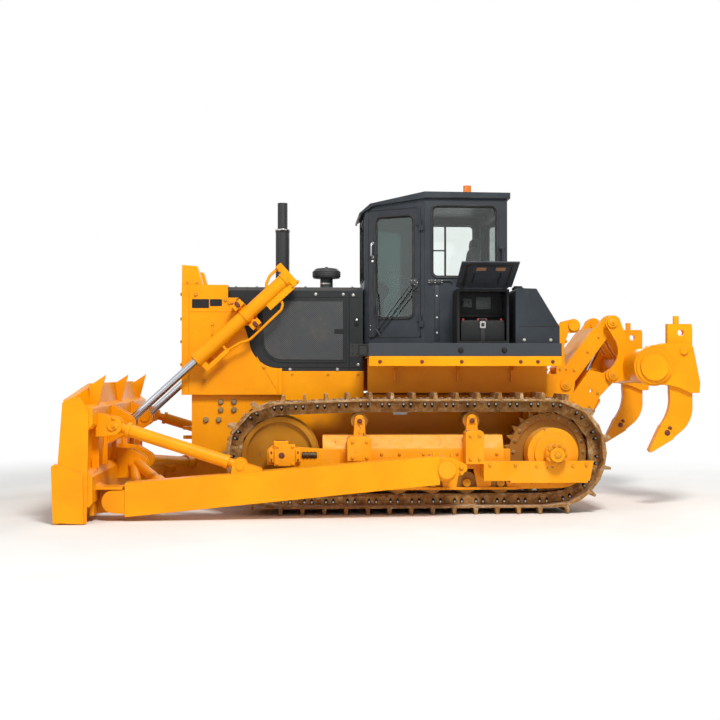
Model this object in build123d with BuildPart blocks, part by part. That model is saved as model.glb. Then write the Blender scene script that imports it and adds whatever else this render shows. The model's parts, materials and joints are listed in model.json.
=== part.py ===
"""A crawler bulldozer with a straight tilt blade, a closed cab and a parallelogram ripper.

Millimetres. The machine faces -X, its left side is -Y, +Z is up, and the ground is Z = 0.
The origin is on the ground, at the middle of the whole machine.
"""
from build123d import *
from math import asin, atan2, cos, degrees, hypot, pi, radians, sin
import os

os.makedirs("parts", exist_ok=True)

# ---------------------------------------------------------------- driving sizes
SEAT = 0.3                # gap between pieces that rest on each other
SIDES = (("left", -1), ("right", 1))

# undercarriage
sprocket_x = 1610
wheel_base = 2730         # idler axle to sprocket axle
track_gauge = 2000        # middle of one track to middle of the other
shoe_width = 560
shoe_count = 37
shoe_thick = 18
grouser_height = 65
grouser_thick = 26
link_height = 112         # roller path to the underside of the shoes
link_row = 48             # width of one row of links
link_space = 150          # between the two rows of a chain
carrier_xs = (-321, 810)
carrier_top_z = 1018      # roller path of the upper run
roller_count = 6
roller_end_xs = (-620, 1105)
roller_radius = 111
idler_radius = 380
sprocket_radius = 396     # rim that the links run round
tooth_height = 58
tooth_thick = 70
tooth_count = 25
hub_y = 1500

# main frame and engine housing
frame_half = 450
frame_wall = 30
frame_z = (430, 1180)
frame_x = (-2060, 1455)
case_x = (1120, 1830)
case_half = 520
case_top_z = 1400
guard_x = (-2160, -1566)
guard_half = 520
guard_top_z = 2340
guard_plate = 45
guard_side = 29.5
hood_z = 2325
panel_half = 490
panel_bottom_z = 1431
panel_rear_x = -250

# platform and cab
deck_z = (1580, 1710)
skirt_z = 1481
deck_x = (-229, 1711)
deck_half = 1240
cab_front_x = -230
cab_chamfer_x = 375
cab_rear_x = 1240
cab_half = 800
cab_front_half = 430
cab_wall = 50
cab_top_z = 3225
glass_thick = 8

# blade
blade_width = 3725
blade_top_z = 1310
blade_front_x = -3085
blade_top_x = -2990
blade_wall = 60
blade_hollow = 77         # depth of the hollow in the blade's face
blade_bottom_z = 4
wing_reach = 125          # how far the ends of the blade stand forward
wing_y = 1280
wing_drop = 150
blade_back_x = -2850

# push arms, hinged at the track frames
trunnion_x = 497
trunnion_z = 479
trunnion_radius = 60
arm_y = 1545
arm_width = 200
arm_front = (-2578, 204, 323)    # x, z of its middle, depth
arm_rear = (430, 471, 272)

# lift cylinders
lift_y = 665
lift_pivot = (-1473, 2018)
lift_eye = (-2690, 903)
lift_barrel_radius = 74
lift_rod_radius = 38

# ripper
ripper_lower_pin = (1938, 718)
ripper_upper_pin = (1930, 1281)
ripper_link = (508, 674)         # from the pins on the machine to the pins on the beam
ripper_pin_radius = 36
beam_centre = (2737, 1482)
beam_radius = 186
beam_half = 1010
shank_y = 866
shank_thick = 75


# ---------------------------------------------------------------- shared shapes
def side_plate(outline, y_a, y_b, mode=Mode.ADD):
    """A plate whose outline is given in X and Z, between two values of Y.

    A point written ("via", x, z) lies on an arc between the points before and after it.
    """
    with BuildSketch(Plane.XZ.offset(-max(y_a, y_b))) as profile:
        with BuildLine():
            corner = outline[0]
            bend = None
            for entry in [*outline[1:], outline[0]]:
                if entry[0] == "via":
                    bend = entry[1:]
                    continue
                if bend:
                    ThreePointArc(corner, bend, entry)
                else:
                    Line(corner, entry)
                corner = entry
                bend = None
        make_face()
    extrude(profile.sketch, amount=abs(y_b - y_a), mode=mode)


def block(x_range, y_range, z_range, mode=Mode.ADD):
    """A square block between two values of X, Y and Z."""
    x_a, x_b = x_range
    z_a, z_b = z_range
    side_plate([(x_a, z_a), (x_b, z_a), (x_b, z_b), (x_a, z_b)], *y_range, mode=mode)


def cross_round(x, z, radius, y_a, y_b, mode=Mode.ADD):
    """A round bar along Y."""
    with BuildSketch(Plane.XZ.offset(-max(y_a, y_b))) as profile:
        with Locations((x, z)):
            Circle(radius)
    extrude(profile.sketch, amount=abs(y_b - y_a), mode=mode)


def bar(start, end, radius, mode=Mode.ADD):
    """A round bar between two points."""
    run = Vector(*end) - Vector(*start)
    with BuildSketch(Plane(origin=start, z_dir=run)) as profile:
        Circle(radius)
    extrude(profile.sketch, amount=run.length, mode=mode)


def upright(x, y, radius, z_a, z_b, mode=Mode.ADD):
    """A round post along Z."""
    with BuildSketch(Plane.XY.offset(z_a)) as profile:
        with Locations((x, y)):
            Circle(radius)
    extrude(profile.sketch, amount=z_b - z_a, mode=mode)


def cross_plate(outline, x_a, x_b, mode=Mode.ADD):
    """A piece whose outline is given in Y and Z, between two values of X."""
    with BuildSketch(Plane.YZ.offset(x_a)) as profile:
        with BuildLine():
            Polyline(*outline, close=True)
        make_face()
    extrude(profile.sketch, amount=x_b - x_a, mode=mode)


def strap(start, end, radius, y_a, y_b, mode=Mode.ADD):
    """A plate with round ends about two points in X and Z."""
    run = hypot(end[0] - start[0], end[1] - start[1])
    tilt = degrees(atan2(end[1] - start[1], end[0] - start[0]))
    with BuildSketch(Plane.XZ.offset(-max(y_a, y_b))) as profile:
        with Locations(Location((mid((start[0], end[0])), mid((start[1], end[1]))), tilt)):
            SlotCenterToCenter(run, 2 * radius)
    extrude(profile.sketch, amount=abs(y_b - y_a), mode=mode)


def save(piece, name):
    piece.part.label = name
    export_step(piece.part, f"parts/{name}.step")


def mid(pair):
    return sum(pair) / 2


# ---------------------------------------------------------------- track loop
idler_x = sprocket_x - wheel_base
chain_depth = link_height + shoe_thick + grouser_height


def wrap(radius):
    """Radius of the link joints round a wheel, whose straight links touch it at their middles."""
    return (radius + SEAT) / cos(link_pitch / 2 / radius)


link_pitch = 214                                  # nominal, sets how far the joints stand off
idler_wrap = wrap(idler_radius)
sprocket_wrap = wrap(sprocket_radius)
idler_z = idler_wrap + chain_depth
sprocket_z = sprocket_wrap + chain_depth


def tangent(circle_a, circle_b):
    """The line on the left of a to b that touches both circles, each given as x, z and radius."""
    (xa, za, ra), (xb, zb, rb) = circle_a, circle_b
    run = hypot(xb - xa, zb - za)
    turn = atan2(zb - za, xb - xa) + pi / 2 - asin((ra - rb) / run)
    normal = (cos(turn), sin(turn))
    return ((xa + ra * normal[0], za + ra * normal[1]), (xb + rb * normal[0], zb + rb * normal[1]), turn)


def loop_spans():
    """The roller path as lines and arcs, from the idler over the top and round to the idler."""
    rollers = [(x, carrier_top_z - 60, 60) for x in carrier_xs]
    wheels = [(idler_x, idler_z, idler_wrap), *rollers, (sprocket_x, sprocket_z, sprocket_wrap)]
    wheels_down = [(sprocket_x, sprocket_z, sprocket_wrap), (idler_x, idler_z, idler_wrap)]
    runs = []
    for first, second in zip(wheels, wheels[1:]):
        runs.append((first, second, *tangent(first, second)))
    first, second = wheels_down
    runs.append((first, second, *tangent(first, second)))
    spans = []
    for run, following in zip(runs, runs[1:] + runs[:1]):
        _, wheel, start, end, turn = run
        spans.append(("line", start, end, turn))
        spans.append(("arc", wheel, turn, following[4]))
    return spans


def walk(distance, spans):
    """A point of the roller path, and the angle of its outward normal."""
    for kind, *span in spans:
        if kind == "line":
            start, end, turn = span
            length = hypot(end[0] - start[0], end[1] - start[1])
            if distance <= length:
                share = distance / length
                return (start[0] + share * (end[0] - start[0]), start[1] + share * (end[1] - start[1])), turn
        else:
            (x, z, radius), turn_in, turn_out = span
            swing = (turn_in - turn_out) % (2 * pi)
            length = radius * swing
            if distance <= length:
                turn = turn_in - distance / radius
                return (x + radius * cos(turn), z + radius * sin(turn)), turn
        distance -= length
    return walk(0, spans)


def span_length(spans):
    total = 0
    for kind, *span in spans:
        if kind == "line":
            start, end, _ = span
            total += hypot(end[0] - start[0], end[1] - start[1])
        else:
            (_, _, radius), turn_in, turn_out = span
            total += radius * ((turn_in - turn_out) % (2 * pi))
    return total


def lifted(point, turn, along, out):
    """A point set off from the roller path: forward along it, and outward."""
    return (point[0] + out * cos(turn) + along * sin(turn), point[1] + out * sin(turn) - along * cos(turn))


spans = loop_spans()
pitch = span_length(spans) / shoe_count
stations = [walk(pitch * number, spans) for number in range(shoe_count)]

# one shoe: distance along from its middle, distance out from the roller path
shoe_top = link_height + shoe_thick
shoe_profile = (
    (-pitch * 0.44, shoe_top),
    (pitch * 0.16, shoe_top),
    (pitch * 0.20, shoe_top + grouser_height),
    (pitch * 0.20 + grouser_thick, shoe_top + grouser_height),
    (pitch * 0.36, shoe_top),
    (pitch * 0.46, shoe_top - 6),
)
print(f"track pitch {pitch:.1f}")

for side_name, side in SIDES:
    track_mid = side * track_gauge / 2
    outer = [lifted(*station, *corner) for station in stations for corner in shoe_profile]
    shoe_under = [lifted(*station, 0, link_height) for station in stations]
    link_inner = [lifted(*station, 0, 0) for station in stations]
    with BuildPart() as track:
        with BuildSketch(Plane.XZ.offset(-track_mid - shoe_width / 2)) as shoes:
            with BuildLine():
                Polyline(*outer, close=True)
            make_face()
            with BuildLine():
                Polyline(*shoe_under, close=True)
            make_face(mode=Mode.SUBTRACT)
        extrude(amount=shoe_width)
        for row in (-1, 1):
            row_mid = track_mid + row * (link_space + link_row) / 2
            with BuildSketch(Plane.XZ.offset(-row_mid - link_row / 2)) as links:
                with BuildLine():
                    Polyline(*shoe_under, close=True)
                make_face()
                with BuildLine():
                    Polyline(*link_inner, close=True)
                make_face(mode=Mode.SUBTRACT)
            extrude(amount=link_row)
    save(track, f"track_{side_name}")


# ---------------------------------------------------------------- undercarriage
rail_z = chain_depth                              # roller path of the lower run
roller_z = rail_z + roller_radius + SEAT
roller_flange = 20
roller_step = (roller_end_xs[1] - roller_end_xs[0]) / (roller_count - 1)
roller_xs = [roller_end_xs[0] + number * roller_step for number in range(roller_count)]
web_xs = [roller_xs[0] - 172, *[x + roller_step / 2 for x in roller_xs[:-1]], roller_xs[-1] + 132]
carrier_radius = 84
track_beam_z = (roller_z + roller_radius + roller_flange + 12, 785)
track_beam_x = (-690, 1130)
beam_half_width = 190
beam_top_half = 110
beam_shoulder_z = 655
yoke_inner = 192
guard_inner = 140
roller_half = 125
carrier_half = 125
yoke_wall = 40
guard_wall = 25
guard_lip_z = rail_z + 42
guard_lip = 26
roller_axle = roller_z - guard_lip_z - guard_lip - SEAT
rear_guard_y = (1128, 1150)
rear_guard_x = (roller_end_xs[1] + 60, sprocket_x + 330)


def rail_under(x):
    """Height of the upper run's roller path over x."""
    joints = [lifted(*station, 0, 0) for station in stations]
    heights = []
    for (xa, za), (xb, zb) in zip(joints, joints[1:] + joints[:1]):
        if za > idler_z and xa <= x <= xb:
            heights.append(za + (zb - za) * (x - xa) / (xb - xa))
    return min(heights)


carrier_places = []
for carrier_x in carrier_xs:
    lowest_rail = min(rail_under(carrier_x + step) for step in range(-60, 61, 10))
    carrier_places.append((carrier_x, lowest_rail - carrier_radius - SEAT))

hub_radius = 105
drive_steps = (                                   # radius, inner y, outer y
    (330, case_half + SEAT, 820),
    (300, 820, 880),
    (250, 880, track_gauge / 2),
    (255, track_gauge / 2, 1290),
    (190, 1289, 1326),
    (hub_radius, 1325, hub_y - 45),
    (72, hub_y - 46, hub_y),
)
post_y = (1190, 1380)                             # carrier posts
outer_bar_y = (1335, 1380)                        # bar from the rear post to behind the hub
outer_bar_z = (sprocket_z - 262, sprocket_z - 68)
posts = (                                         # foot x range, foot z range
    ((-451, -212), (545, 785)),
    ((719, 900), (511, 841)),
)

for side_name, side in SIDES:
    track_mid = side * track_gauge / 2

    # the final drive case, the toothed sprocket and the outer bearing, on one axle
    with BuildPart() as final_drive:
        cross_round(sprocket_x, sprocket_z, sprocket_radius, track_mid - 50, track_mid + 50)
        for face in (-1, 1):
            recess_y = (track_mid + face * 28, track_mid + face * 51)
            cross_round(sprocket_x, sprocket_z, sprocket_radius - 70, *recess_y, mode=Mode.SUBTRACT)
        with BuildSketch(Plane.XZ.offset(-track_mid - tooth_thick / 2)) as teeth:
            with Locations((sprocket_x, sprocket_z)):
                Circle(sprocket_radius + 1)
                with PolarLocations(sprocket_radius + tooth_height / 2 - 2, tooth_count):
                    Trapezoid(56, tooth_height, 68, rotation=-90)
        extrude(amount=tooth_thick)
        for radius, near_y, far_y in drive_steps:
            cross_round(sprocket_x, sprocket_z, radius, side * near_y, side * far_y)
    save(final_drive, f"final_drive_{side_name}")

    with BuildPart() as idler:
        cross_round(idler_x, idler_z, idler_radius, track_mid - 105, track_mid + 105)
        cross_round(
            idler_x, idler_z, idler_radius - 50, track_mid + 60, track_mid + 105, mode=Mode.SUBTRACT,
        )
        cross_round(
            idler_x, idler_z, idler_radius - 50, track_mid - 105, track_mid - 60, mode=Mode.SUBTRACT,
        )
        cross_round(idler_x, idler_z, 90, track_mid - yoke_inner + SEAT, track_mid + yoke_inner - SEAT)
        cross_round(idler_x, idler_z, idler_radius + 20, track_mid - 40, track_mid + 40)
    save(idler, f"idler_{side_name}")

    with BuildPart() as rollers:
        for roller_x in roller_xs:
            cross_round(roller_x, roller_z, roller_radius, track_mid - roller_half, track_mid + roller_half)
            cross_round(roller_x, roller_z, roller_radius + roller_flange, track_mid - 40, track_mid + 40)
            cross_round(
                roller_x,
                roller_z,
                roller_axle,
                track_mid - guard_inner - guard_wall,
                track_mid + guard_inner + guard_wall,
            )
        for carrier_x, carrier_z in carrier_places:
            cross_round(
                carrier_x, carrier_z, carrier_radius, track_mid - carrier_half, track_mid + carrier_half,
            )
    save(rollers, f"rollers_{side_name}")

    # the beam over the rollers, with the idler's yoke, roller guards and carrier posts
    with BuildPart() as track_frame:
        cross_plate([
            (track_mid - beam_half_width, track_beam_z[0]), (track_mid + beam_half_width, track_beam_z[0]),
            (track_mid + beam_half_width, beam_shoulder_z), (track_mid + beam_top_half, track_beam_z[1]),
            (track_mid - beam_top_half, track_beam_z[1]), (track_mid - beam_half_width, beam_shoulder_z),
        ], *track_beam_x)
        for cheek in (-1, 1):
            yoke_y = (track_mid + cheek * yoke_inner, track_mid + cheek * (yoke_inner + yoke_wall))
            side_plate([
                (idler_x - 120, idler_z - 90),
                (track_beam_x[0] + 170, idler_z - 150),
                (track_beam_x[0] + 170, beam_shoulder_z - 10),
                (idler_x + 120, idler_z + 90),
                (idler_x - 60, idler_z + 110),
                (idler_x - 120, idler_z + 60),
            ], *yoke_y)
            bearing_y = (yoke_y[1] - cheek, yoke_y[1] + cheek * 45)
            block((idler_x - 50, idler_x + 155), bearing_y, (idler_z - 100, idler_z + 115))
            for clip_x in (idler_x - 75, idler_x + 180):
                block(
                    (clip_x - 26, clip_x + 26),
                    (yoke_y[1] - cheek, yoke_y[1] + cheek * 30),
                    (idler_z - 70, idler_z + 70),
                )
            filler = (track_mid + cheek * (beam_half_width - 1), yoke_y[1])
            block(
                (track_beam_x[0] + 20, track_beam_x[0] + 170),
                filler,
                (idler_z - 120, beam_shoulder_z - 20),
            )
            # roller guard: a web between each pair of rollers, and a lip along the bottom
            guard_y = (track_mid + cheek * guard_inner, track_mid + cheek * (guard_inner + guard_wall))
            block(
                (roller_xs[0] - 170, roller_xs[-1] + 170),
                (guard_y[0] - cheek * 30, guard_y[1]),
                (track_beam_z[0], track_beam_z[0] + 50),
            )
            block(
                (roller_xs[0] - 170, roller_xs[-1] + 170),
                (guard_y[0], guard_y[1] + cheek * 18),
                (guard_lip_z, guard_lip_z + guard_lip),
            )
            for web_x in web_xs:
                side_plate([
                    (web_x - 105, track_beam_z[0] + 1), (web_x - 62, guard_lip_z + 1),
                    (web_x + 62, guard_lip_z + 1), (web_x + 105, track_beam_z[0] + 1),
                ], *guard_y)
        # rear guard beside the sprocket
        side_plate([
            (rear_guard_x[0], track_beam_z[0] + 50), (rear_guard_x[0], guard_lip_z),
            (sprocket_x + 110, guard_lip_z + 10), ("via", sprocket_x + 250, guard_lip_z + 50),
            (rear_guard_x[1], outer_bar_z[0]), (sprocket_x - 90, outer_bar_z[0]),
            ("via", sprocket_x - 200, outer_bar_z[0] + 55), (sprocket_x - 268, track_beam_z[0] + 50),
        ], side * rear_guard_y[0], side * rear_guard_y[1])
        block(
            (track_beam_x[1] - 90, rear_guard_x[0] + 40),
            (side * (track_gauge / 2 + 60), side * rear_guard_y[1]),
            (track_beam_z[0], beam_shoulder_z - 10),
        )
        # carrier posts, the outer bar and its notch for the hub
        for (carrier_x, carrier_z), (foot_x, foot_z) in zip(carrier_places, posts):
            outside = track_mid + side * (carrier_half + SEAT)
            foot_y = (side * (track_gauge / 2 + beam_half_width - 1), side * post_y[1])
            side_plate([
                (foot_x[0], foot_z[0]), (foot_x[1], foot_z[0]), (foot_x[1], foot_z[1] - 25),
                (foot_x[1] - 25, foot_z[1]), (foot_x[0] + 25, foot_z[1]), (foot_x[0], foot_z[1] - 25),
            ], *foot_y)
            head_y = (outside, outside + side * 62)
            side_plate([
                (carrier_x - 62, foot_z[1] - 20),
                (carrier_x + 62, foot_z[1] - 20), (carrier_x + 48, carrier_z + 20),
                ("via", carrier_x, carrier_z + 62), (carrier_x - 48, carrier_z + 20),
            ], *head_y)
            block(
                (carrier_x - 62, carrier_x + 62),
                (outside, foot_y[1] - side * 30),
                (foot_z[1] - 40, foot_z[1] - 1),
            )
            cross_round(carrier_x, carrier_z, 30, head_y[1] - side, head_y[1] + side * 12)
        side_plate([
            (posts[1][0][1] - 1, outer_bar_z[0]), (1960, outer_bar_z[0]), (2000, outer_bar_z[1]),
            (posts[1][0][1] - 1, outer_bar_z[1]),
        ], side * outer_bar_y[0], side * outer_bar_y[1])
        block(
            (posts[1][0][1] - 1, posts[1][0][1] + 90),
            (side * (track_gauge / 2 + beam_half_width - 1), side * outer_bar_y[1]),
            (outer_bar_z[0] + 20, outer_bar_z[1] - 20),
        )
        block(
            rear_guard_x,
            (side * rear_guard_y[0], side * outer_bar_y[1]),
            (outer_bar_z[0] - 22, outer_bar_z[0] - 2),
        )
        block(
            rear_guard_x,
            (side * outer_bar_y[0], side * outer_bar_y[1]),
            (outer_bar_z[0] - 3, outer_bar_z[0] + 1),
        )
        cross_round(sprocket_x, sprocket_z, hub_radius + SEAT, side * 1330, side * 1400, mode=Mode.SUBTRACT)
        # the shaft that the push arm swings on, with its shoulder
        cross_round(
            trunnion_x, trunnion_z, trunnion_radius, side * post_y[0], side * (arm_y + arm_width / 2 + 30),
        )
        cross_round(
            trunnion_x, trunnion_z, 110, side * (post_y[0] - 10), side * (arm_y - arm_width / 2 - 8),
        )
        cross_round(
            trunnion_x,
            trunnion_z,
            84,
            side * (arm_y + arm_width / 2 + 8),
            side * (arm_y + arm_width / 2 + 30),
        )
    save(track_frame, f"track_frame_{side_name}")


# ---------------------------------------------------------------- main frame, engine and housing
tow_x = frame_x[0] - 75
tow_zs = (690, 790)                               # undersides of the clevis plates
tow_plate = 35
tow_bore = 23
skirt_y = (446, 490)                              # yellow plates under the side panels
skirt_x = (-1107, -242)

with BuildPart() as main_frame:
    inside = frame_half - frame_wall
    for cheek in (-1, 1):
        side_plate([
            (frame_x[0], 640), (-1500, frame_z[0]), (frame_x[1], frame_z[0]),
            (frame_x[1], frame_z[1]), (frame_x[0], frame_z[1]),
        ], cheek * frame_half, cheek * inside)
        side_plate([
            (skirt_x[0], frame_z[1] - 60),
            (skirt_x[1], frame_z[1] - 60), (skirt_x[1], panel_bottom_z - SEAT),
            (skirt_x[0], panel_bottom_z - SEAT),
        ], cheek * skirt_y[0], cheek * skirt_y[1])
    block((-1500, case_x[0] - SEAT), (-inside, inside), (frame_z[0], frame_z[0] + 20))
    block((frame_x[0], frame_x[0] + 40), (-inside, inside), (640, frame_z[1]))
    for tow_z in tow_zs:
        with BuildSketch(Plane.XY.offset(tow_z)) as tow_ear:
            with BuildLine():
                Line((frame_x[0] + 1, -110), (frame_x[0] + 1, 110))
                Line((frame_x[0] + 1, 110), (tow_x, 60))
                ThreePointArc((tow_x, 60), (tow_x - 60, 0), (tow_x, -60))
                Line((tow_x, -60), (frame_x[0] + 1, -110))
            make_face()
            with Locations((tow_x, 0)):
                Circle(tow_bore, mode=Mode.SUBTRACT)
        extrude(tow_ear.sketch, amount=tow_plate)
    # cross tubes that carry the track frames
    yoke_face = track_gauge / 2 - yoke_inner - yoke_wall - SEAT
    beam_face = track_gauge / 2 - beam_half_width - SEAT
    block((-640, -540), (-yoke_face, yoke_face), (540, 620))
    block((500, 620), (-beam_face, beam_face), (560, 720))
save(main_frame, "main_frame")

with BuildPart() as engine:
    block((-1450, -430), (-300, 300), (720 + SEAT, 1900))
    for foot_x in (-1400, -560):
        block(
            (foot_x, foot_x + 80),
            (-frame_half + frame_wall + SEAT, frame_half - frame_wall - SEAT),
            (720 + SEAT, 800),
        )
save(engine, "engine")

with BuildPart() as rear_case:
    side_plate([
        (case_x[0], 480),
        (case_x[1] - 120, 480),
        (case_x[1], 620),
        (case_x[1], case_top_z),
        (case_x[0], case_top_z),
    ], -frame_half + frame_wall + SEAT, frame_half - frame_wall - SEAT)
    block((sprocket_x - 150, case_x[1]), (-case_half, case_half), (500, case_top_z))
save(rear_case, "rear_case")

lift_boss_radius = 62                             # swivel that carries each lift cylinder
lift_boss_y = (guard_half - 60, guard_half + 26)
guard_foot_z = frame_z[1] + SEAT
panel_curve = (                                   # edge between guard and side panel, downwards
    (guard_x[1], hood_z - 20), (guard_x[1], 2100), (-1453, 1746), ("via", -1360, 1550), (skirt_x[0], 1462),
)
grille_bar_step = 95

with BuildPart() as radiator_guard:
    for _, side in SIDES:
        side_plate([
            (guard_x[0], guard_foot_z), (skirt_x[0] - SEAT, guard_foot_z), (skirt_x[0] - SEAT, 1462),
            *panel_curve[::-1][1:-1], (guard_x[1], 2205),
            (guard_x[1] - 110, 2205), (guard_x[1] - 110, guard_top_z),
            (guard_x[0], guard_top_z),
        ], side * guard_half, side * (guard_half - guard_side))
        block(
            (guard_x[0] + 60, guard_x[1]),
            (side * (guard_half - guard_side), side * 452),
            (guard_foot_z, guard_foot_z + 30),
        )
        # swivel boss of the lift cylinder, on a bracket behind the guard's edge
        strap(
            lift_pivot,
            (guard_x[1] - 150, lift_pivot[1] - 30),
            105,
            side * (guard_half - 28),
            side * guard_half,
        )
        cross_round(*lift_pivot, 95, side * (guard_half - 28), side * lift_boss_y[1])
        cross_round(
            *lift_pivot,
            lift_boss_radius + 0.4,
            side * 480,
            side * (lift_boss_y[1] + 1),
            mode=Mode.SUBTRACT,
        )
        block(
            (guard_x[0], guard_x[0] + guard_plate),
            (side * (guard_half - 130), side * guard_half),
            (guard_foot_z, guard_top_z),
        )
    for bar_z in ((guard_foot_z, guard_foot_z + 130), (guard_top_z - 120, guard_top_z)):
        block((guard_x[0], guard_x[0] + guard_plate), (-guard_half + 1, guard_half - 1), bar_z)
    block(
        (guard_x[0] + 1, guard_x[1] - 110),
        (-guard_half + 1, guard_half - 1),
        (guard_top_z - 22, guard_top_z),
    )
    grille_bar_z = guard_foot_z + 130 + grille_bar_step / 2
    while grille_bar_z < guard_top_z - 130:
        block(
            (guard_x[0] + 12, guard_x[0] + 34),
            (-guard_half + 120, guard_half - 120),
            (grille_bar_z, grille_bar_z + 40),
        )
        grille_bar_z += grille_bar_step
    block((guard_x[0] + 1, guard_x[0] + 30), (-25, 25), (guard_foot_z + 100, guard_top_z - 100))
save(radiator_guard, "radiator_guard")

with BuildPart() as radiator:
    block((guard_x[0] + 90, guard_x[0] + 230), (-430, 430), (guard_foot_z + SEAT, guard_top_z - 40))
save(radiator, "radiator")

hood_half = panel_half - 20
with BuildPart() as hood:
    cross_plate([
        (-hood_half, hood_z - 110), (-hood_half, hood_z - 45),
        (-hood_half + 60, hood_z), (hood_half - 60, hood_z),
        (hood_half, hood_z - 45), (hood_half, hood_z - 110), (hood_half - 18, hood_z - 110),
        (hood_half - 18, hood_z - 52), (hood_half - 68, hood_z - 18), (-hood_half + 68, hood_z - 18),
        (-hood_half + 18, hood_z - 52), (-hood_half + 18, hood_z - 110),
    ], guard_x[1] - 110 + SEAT, panel_rear_x)
    block((panel_rear_x - 60, panel_rear_x), (-hood_half + 1, hood_half - 1), (deck_z[1] + 20, hood_z - 20))
save(hood, "hood")

panel_top_z = hood_z - 40
for side_name, side in SIDES:
    with BuildPart() as side_panel:
        side_plate([
            (guard_x[1] - 90, panel_top_z), (guard_x[1] - 90, 2050), (-1540, 1746), ("via", -1430, 1530),
            (skirt_x[0] - 100, panel_bottom_z), (panel_rear_x, panel_bottom_z), (panel_rear_x, panel_top_z),
        ], side * panel_half, side * (panel_half - 19.5))
        side_plate([
            (-1350, 2200), (-1325, 1746), ("via", -1255, 1590), (skirt_x[0], 1520),
            (-433, 1520), (-433, 2200),
        ], side * (panel_half + 8), side * (panel_half - 1))
    save(side_panel, f"side_panel_{side_name}")

with BuildPart() as exhaust_stack:
    upright(-1110, 0, 96, hood_z + SEAT, hood_z + 24)
    upright(-1110, 0, 60, hood_z + 23, 2430)
    upright(-1110, 0, 76, 2429, 2980)
    upright(-1110, 0, 80, 2960, 2984)
    upright(-1110, 0, 55, 2983, 3280)
    upright(-1110, 0, 48, 2700, 3281, mode=Mode.SUBTRACT)
save(exhaust_stack, "exhaust_stack")

with BuildPart() as air_cleaner:
    with BuildSketch(Plane.XZ) as cleaner_half:
        with BuildLine():
            Polyline(
                (-626, hood_z + SEAT), (-536, hood_z + SEAT), (-536, hood_z + 20), (-556, hood_z + 20),
                (-556, 2447), (-482, 2454), (-472, 2475), (-472, 2525), (-482, 2535),
            )
            Polyline((-482, 2535), (-508, 2558), (-560, 2567), (-626, 2567), (-626, hood_z + SEAT))
        make_face()
    revolve(axis=Axis((-626, 0, 0), (0, 0, 1)))
save(air_cleaner, "air_cleaner")

lamp_x = (guard_x[0], guard_x[0] + 217)
lamp_top_z = 2549
with BuildPart() as front_lamps:
    for _, side in SIDES:
        side_plate([
            (lamp_x[0], guard_top_z + SEAT),
            (lamp_x[1], guard_top_z + SEAT), (lamp_x[1] - 60, lamp_top_z - 10),
            (lamp_x[0], lamp_top_z),
        ], side * 300, side * 500)
        block(
            (lamp_x[0] - 1, lamp_x[0] + 60),
            (side * 318, side * 482),
            (guard_top_z + 45, lamp_top_z - 25),
            mode=Mode.SUBTRACT,
        )
        with BuildSketch(Plane.YZ.offset(lamp_x[0] + 14)) as lens:
            with Locations((side * 400, mid((guard_top_z + 45, lamp_top_z - 25)))):
                Circle(66)
        extrude(lens.sketch, amount=50)
save(front_lamps, "front_lamps")


# ---------------------------------------------------------------- platform, tanks and boxes
deck_edge_z = deck_z[0] - SEAT                      # top of the yellow fenders
gusset_xs = (74, 736, 1306)
with BuildPart() as platform:
    block(
        (panel_rear_x + SEAT, deck_x[1]), (-panel_half - 31, panel_half + 31), (deck_z[1] - 40, deck_z[1]),
    )
    for _, side in SIDES:
        block(deck_x, (side * (panel_half + 30), side * deck_half), (deck_z[1] - 40, deck_z[1]))
        block(deck_x, (side * (deck_half - 20), side * deck_half), (deck_z[0], deck_z[1]))
        block(
            (deck_x[0], deck_x[0] + 20),
            (side * (panel_half + 30), side * deck_half),
            (deck_z[0], deck_z[1]),
        )
        block(
            (deck_x[1] - 20, deck_x[1]),
            (side * (panel_half + 30), side * deck_half),
            (deck_z[0], deck_z[1]),
        )
        # black step at the front, with its lamp
        block(
            (deck_x[0] - 190, deck_x[0] + 1), (side * 1010, side * deck_half), (deck_z[0], deck_z[1] - 10),
        )
        with BuildSketch(Plane.XZ.offset(-side * (deck_half - 30) + (30 if side < 0 else 0))) as step_recess:
            with Locations((deck_x[0] - 60, mid(deck_z) - 5)):
                RectangleRounded(78, 92, 14)
        extrude(step_recess.sketch, amount=30 if side < 0 else -30, mode=Mode.SUBTRACT)
save(platform, "platform")

with BuildPart() as fenders:
    for _, side in SIDES:
        block(deck_x, (side * (deck_half - 24), side * deck_half), (skirt_z, deck_edge_z))
        block(deck_x, (side * 620, side * deck_half), (deck_edge_z - 14, deck_edge_z))
        block((deck_x[0] + 20, deck_x[1] - 20), (side * 620, side * 650), (frame_z[1] + 20, deck_edge_z))
        for gusset_x in gusset_xs:
            cross_plate([
                (side * 649, 1320), (side * 690, 1320), (side * 690, 1440), (side * (deck_half - 1), 1540),
                (side * (deck_half - 1), deck_edge_z - 1), (side * 649, deck_edge_z - 1),
            ], gusset_x - 8, gusset_x + 8)
    block((case_x[0] + 40, case_x[1] - 250), (-640, 640), (case_top_z + SEAT, deck_edge_z))
save(fenders, "fenders")

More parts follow.
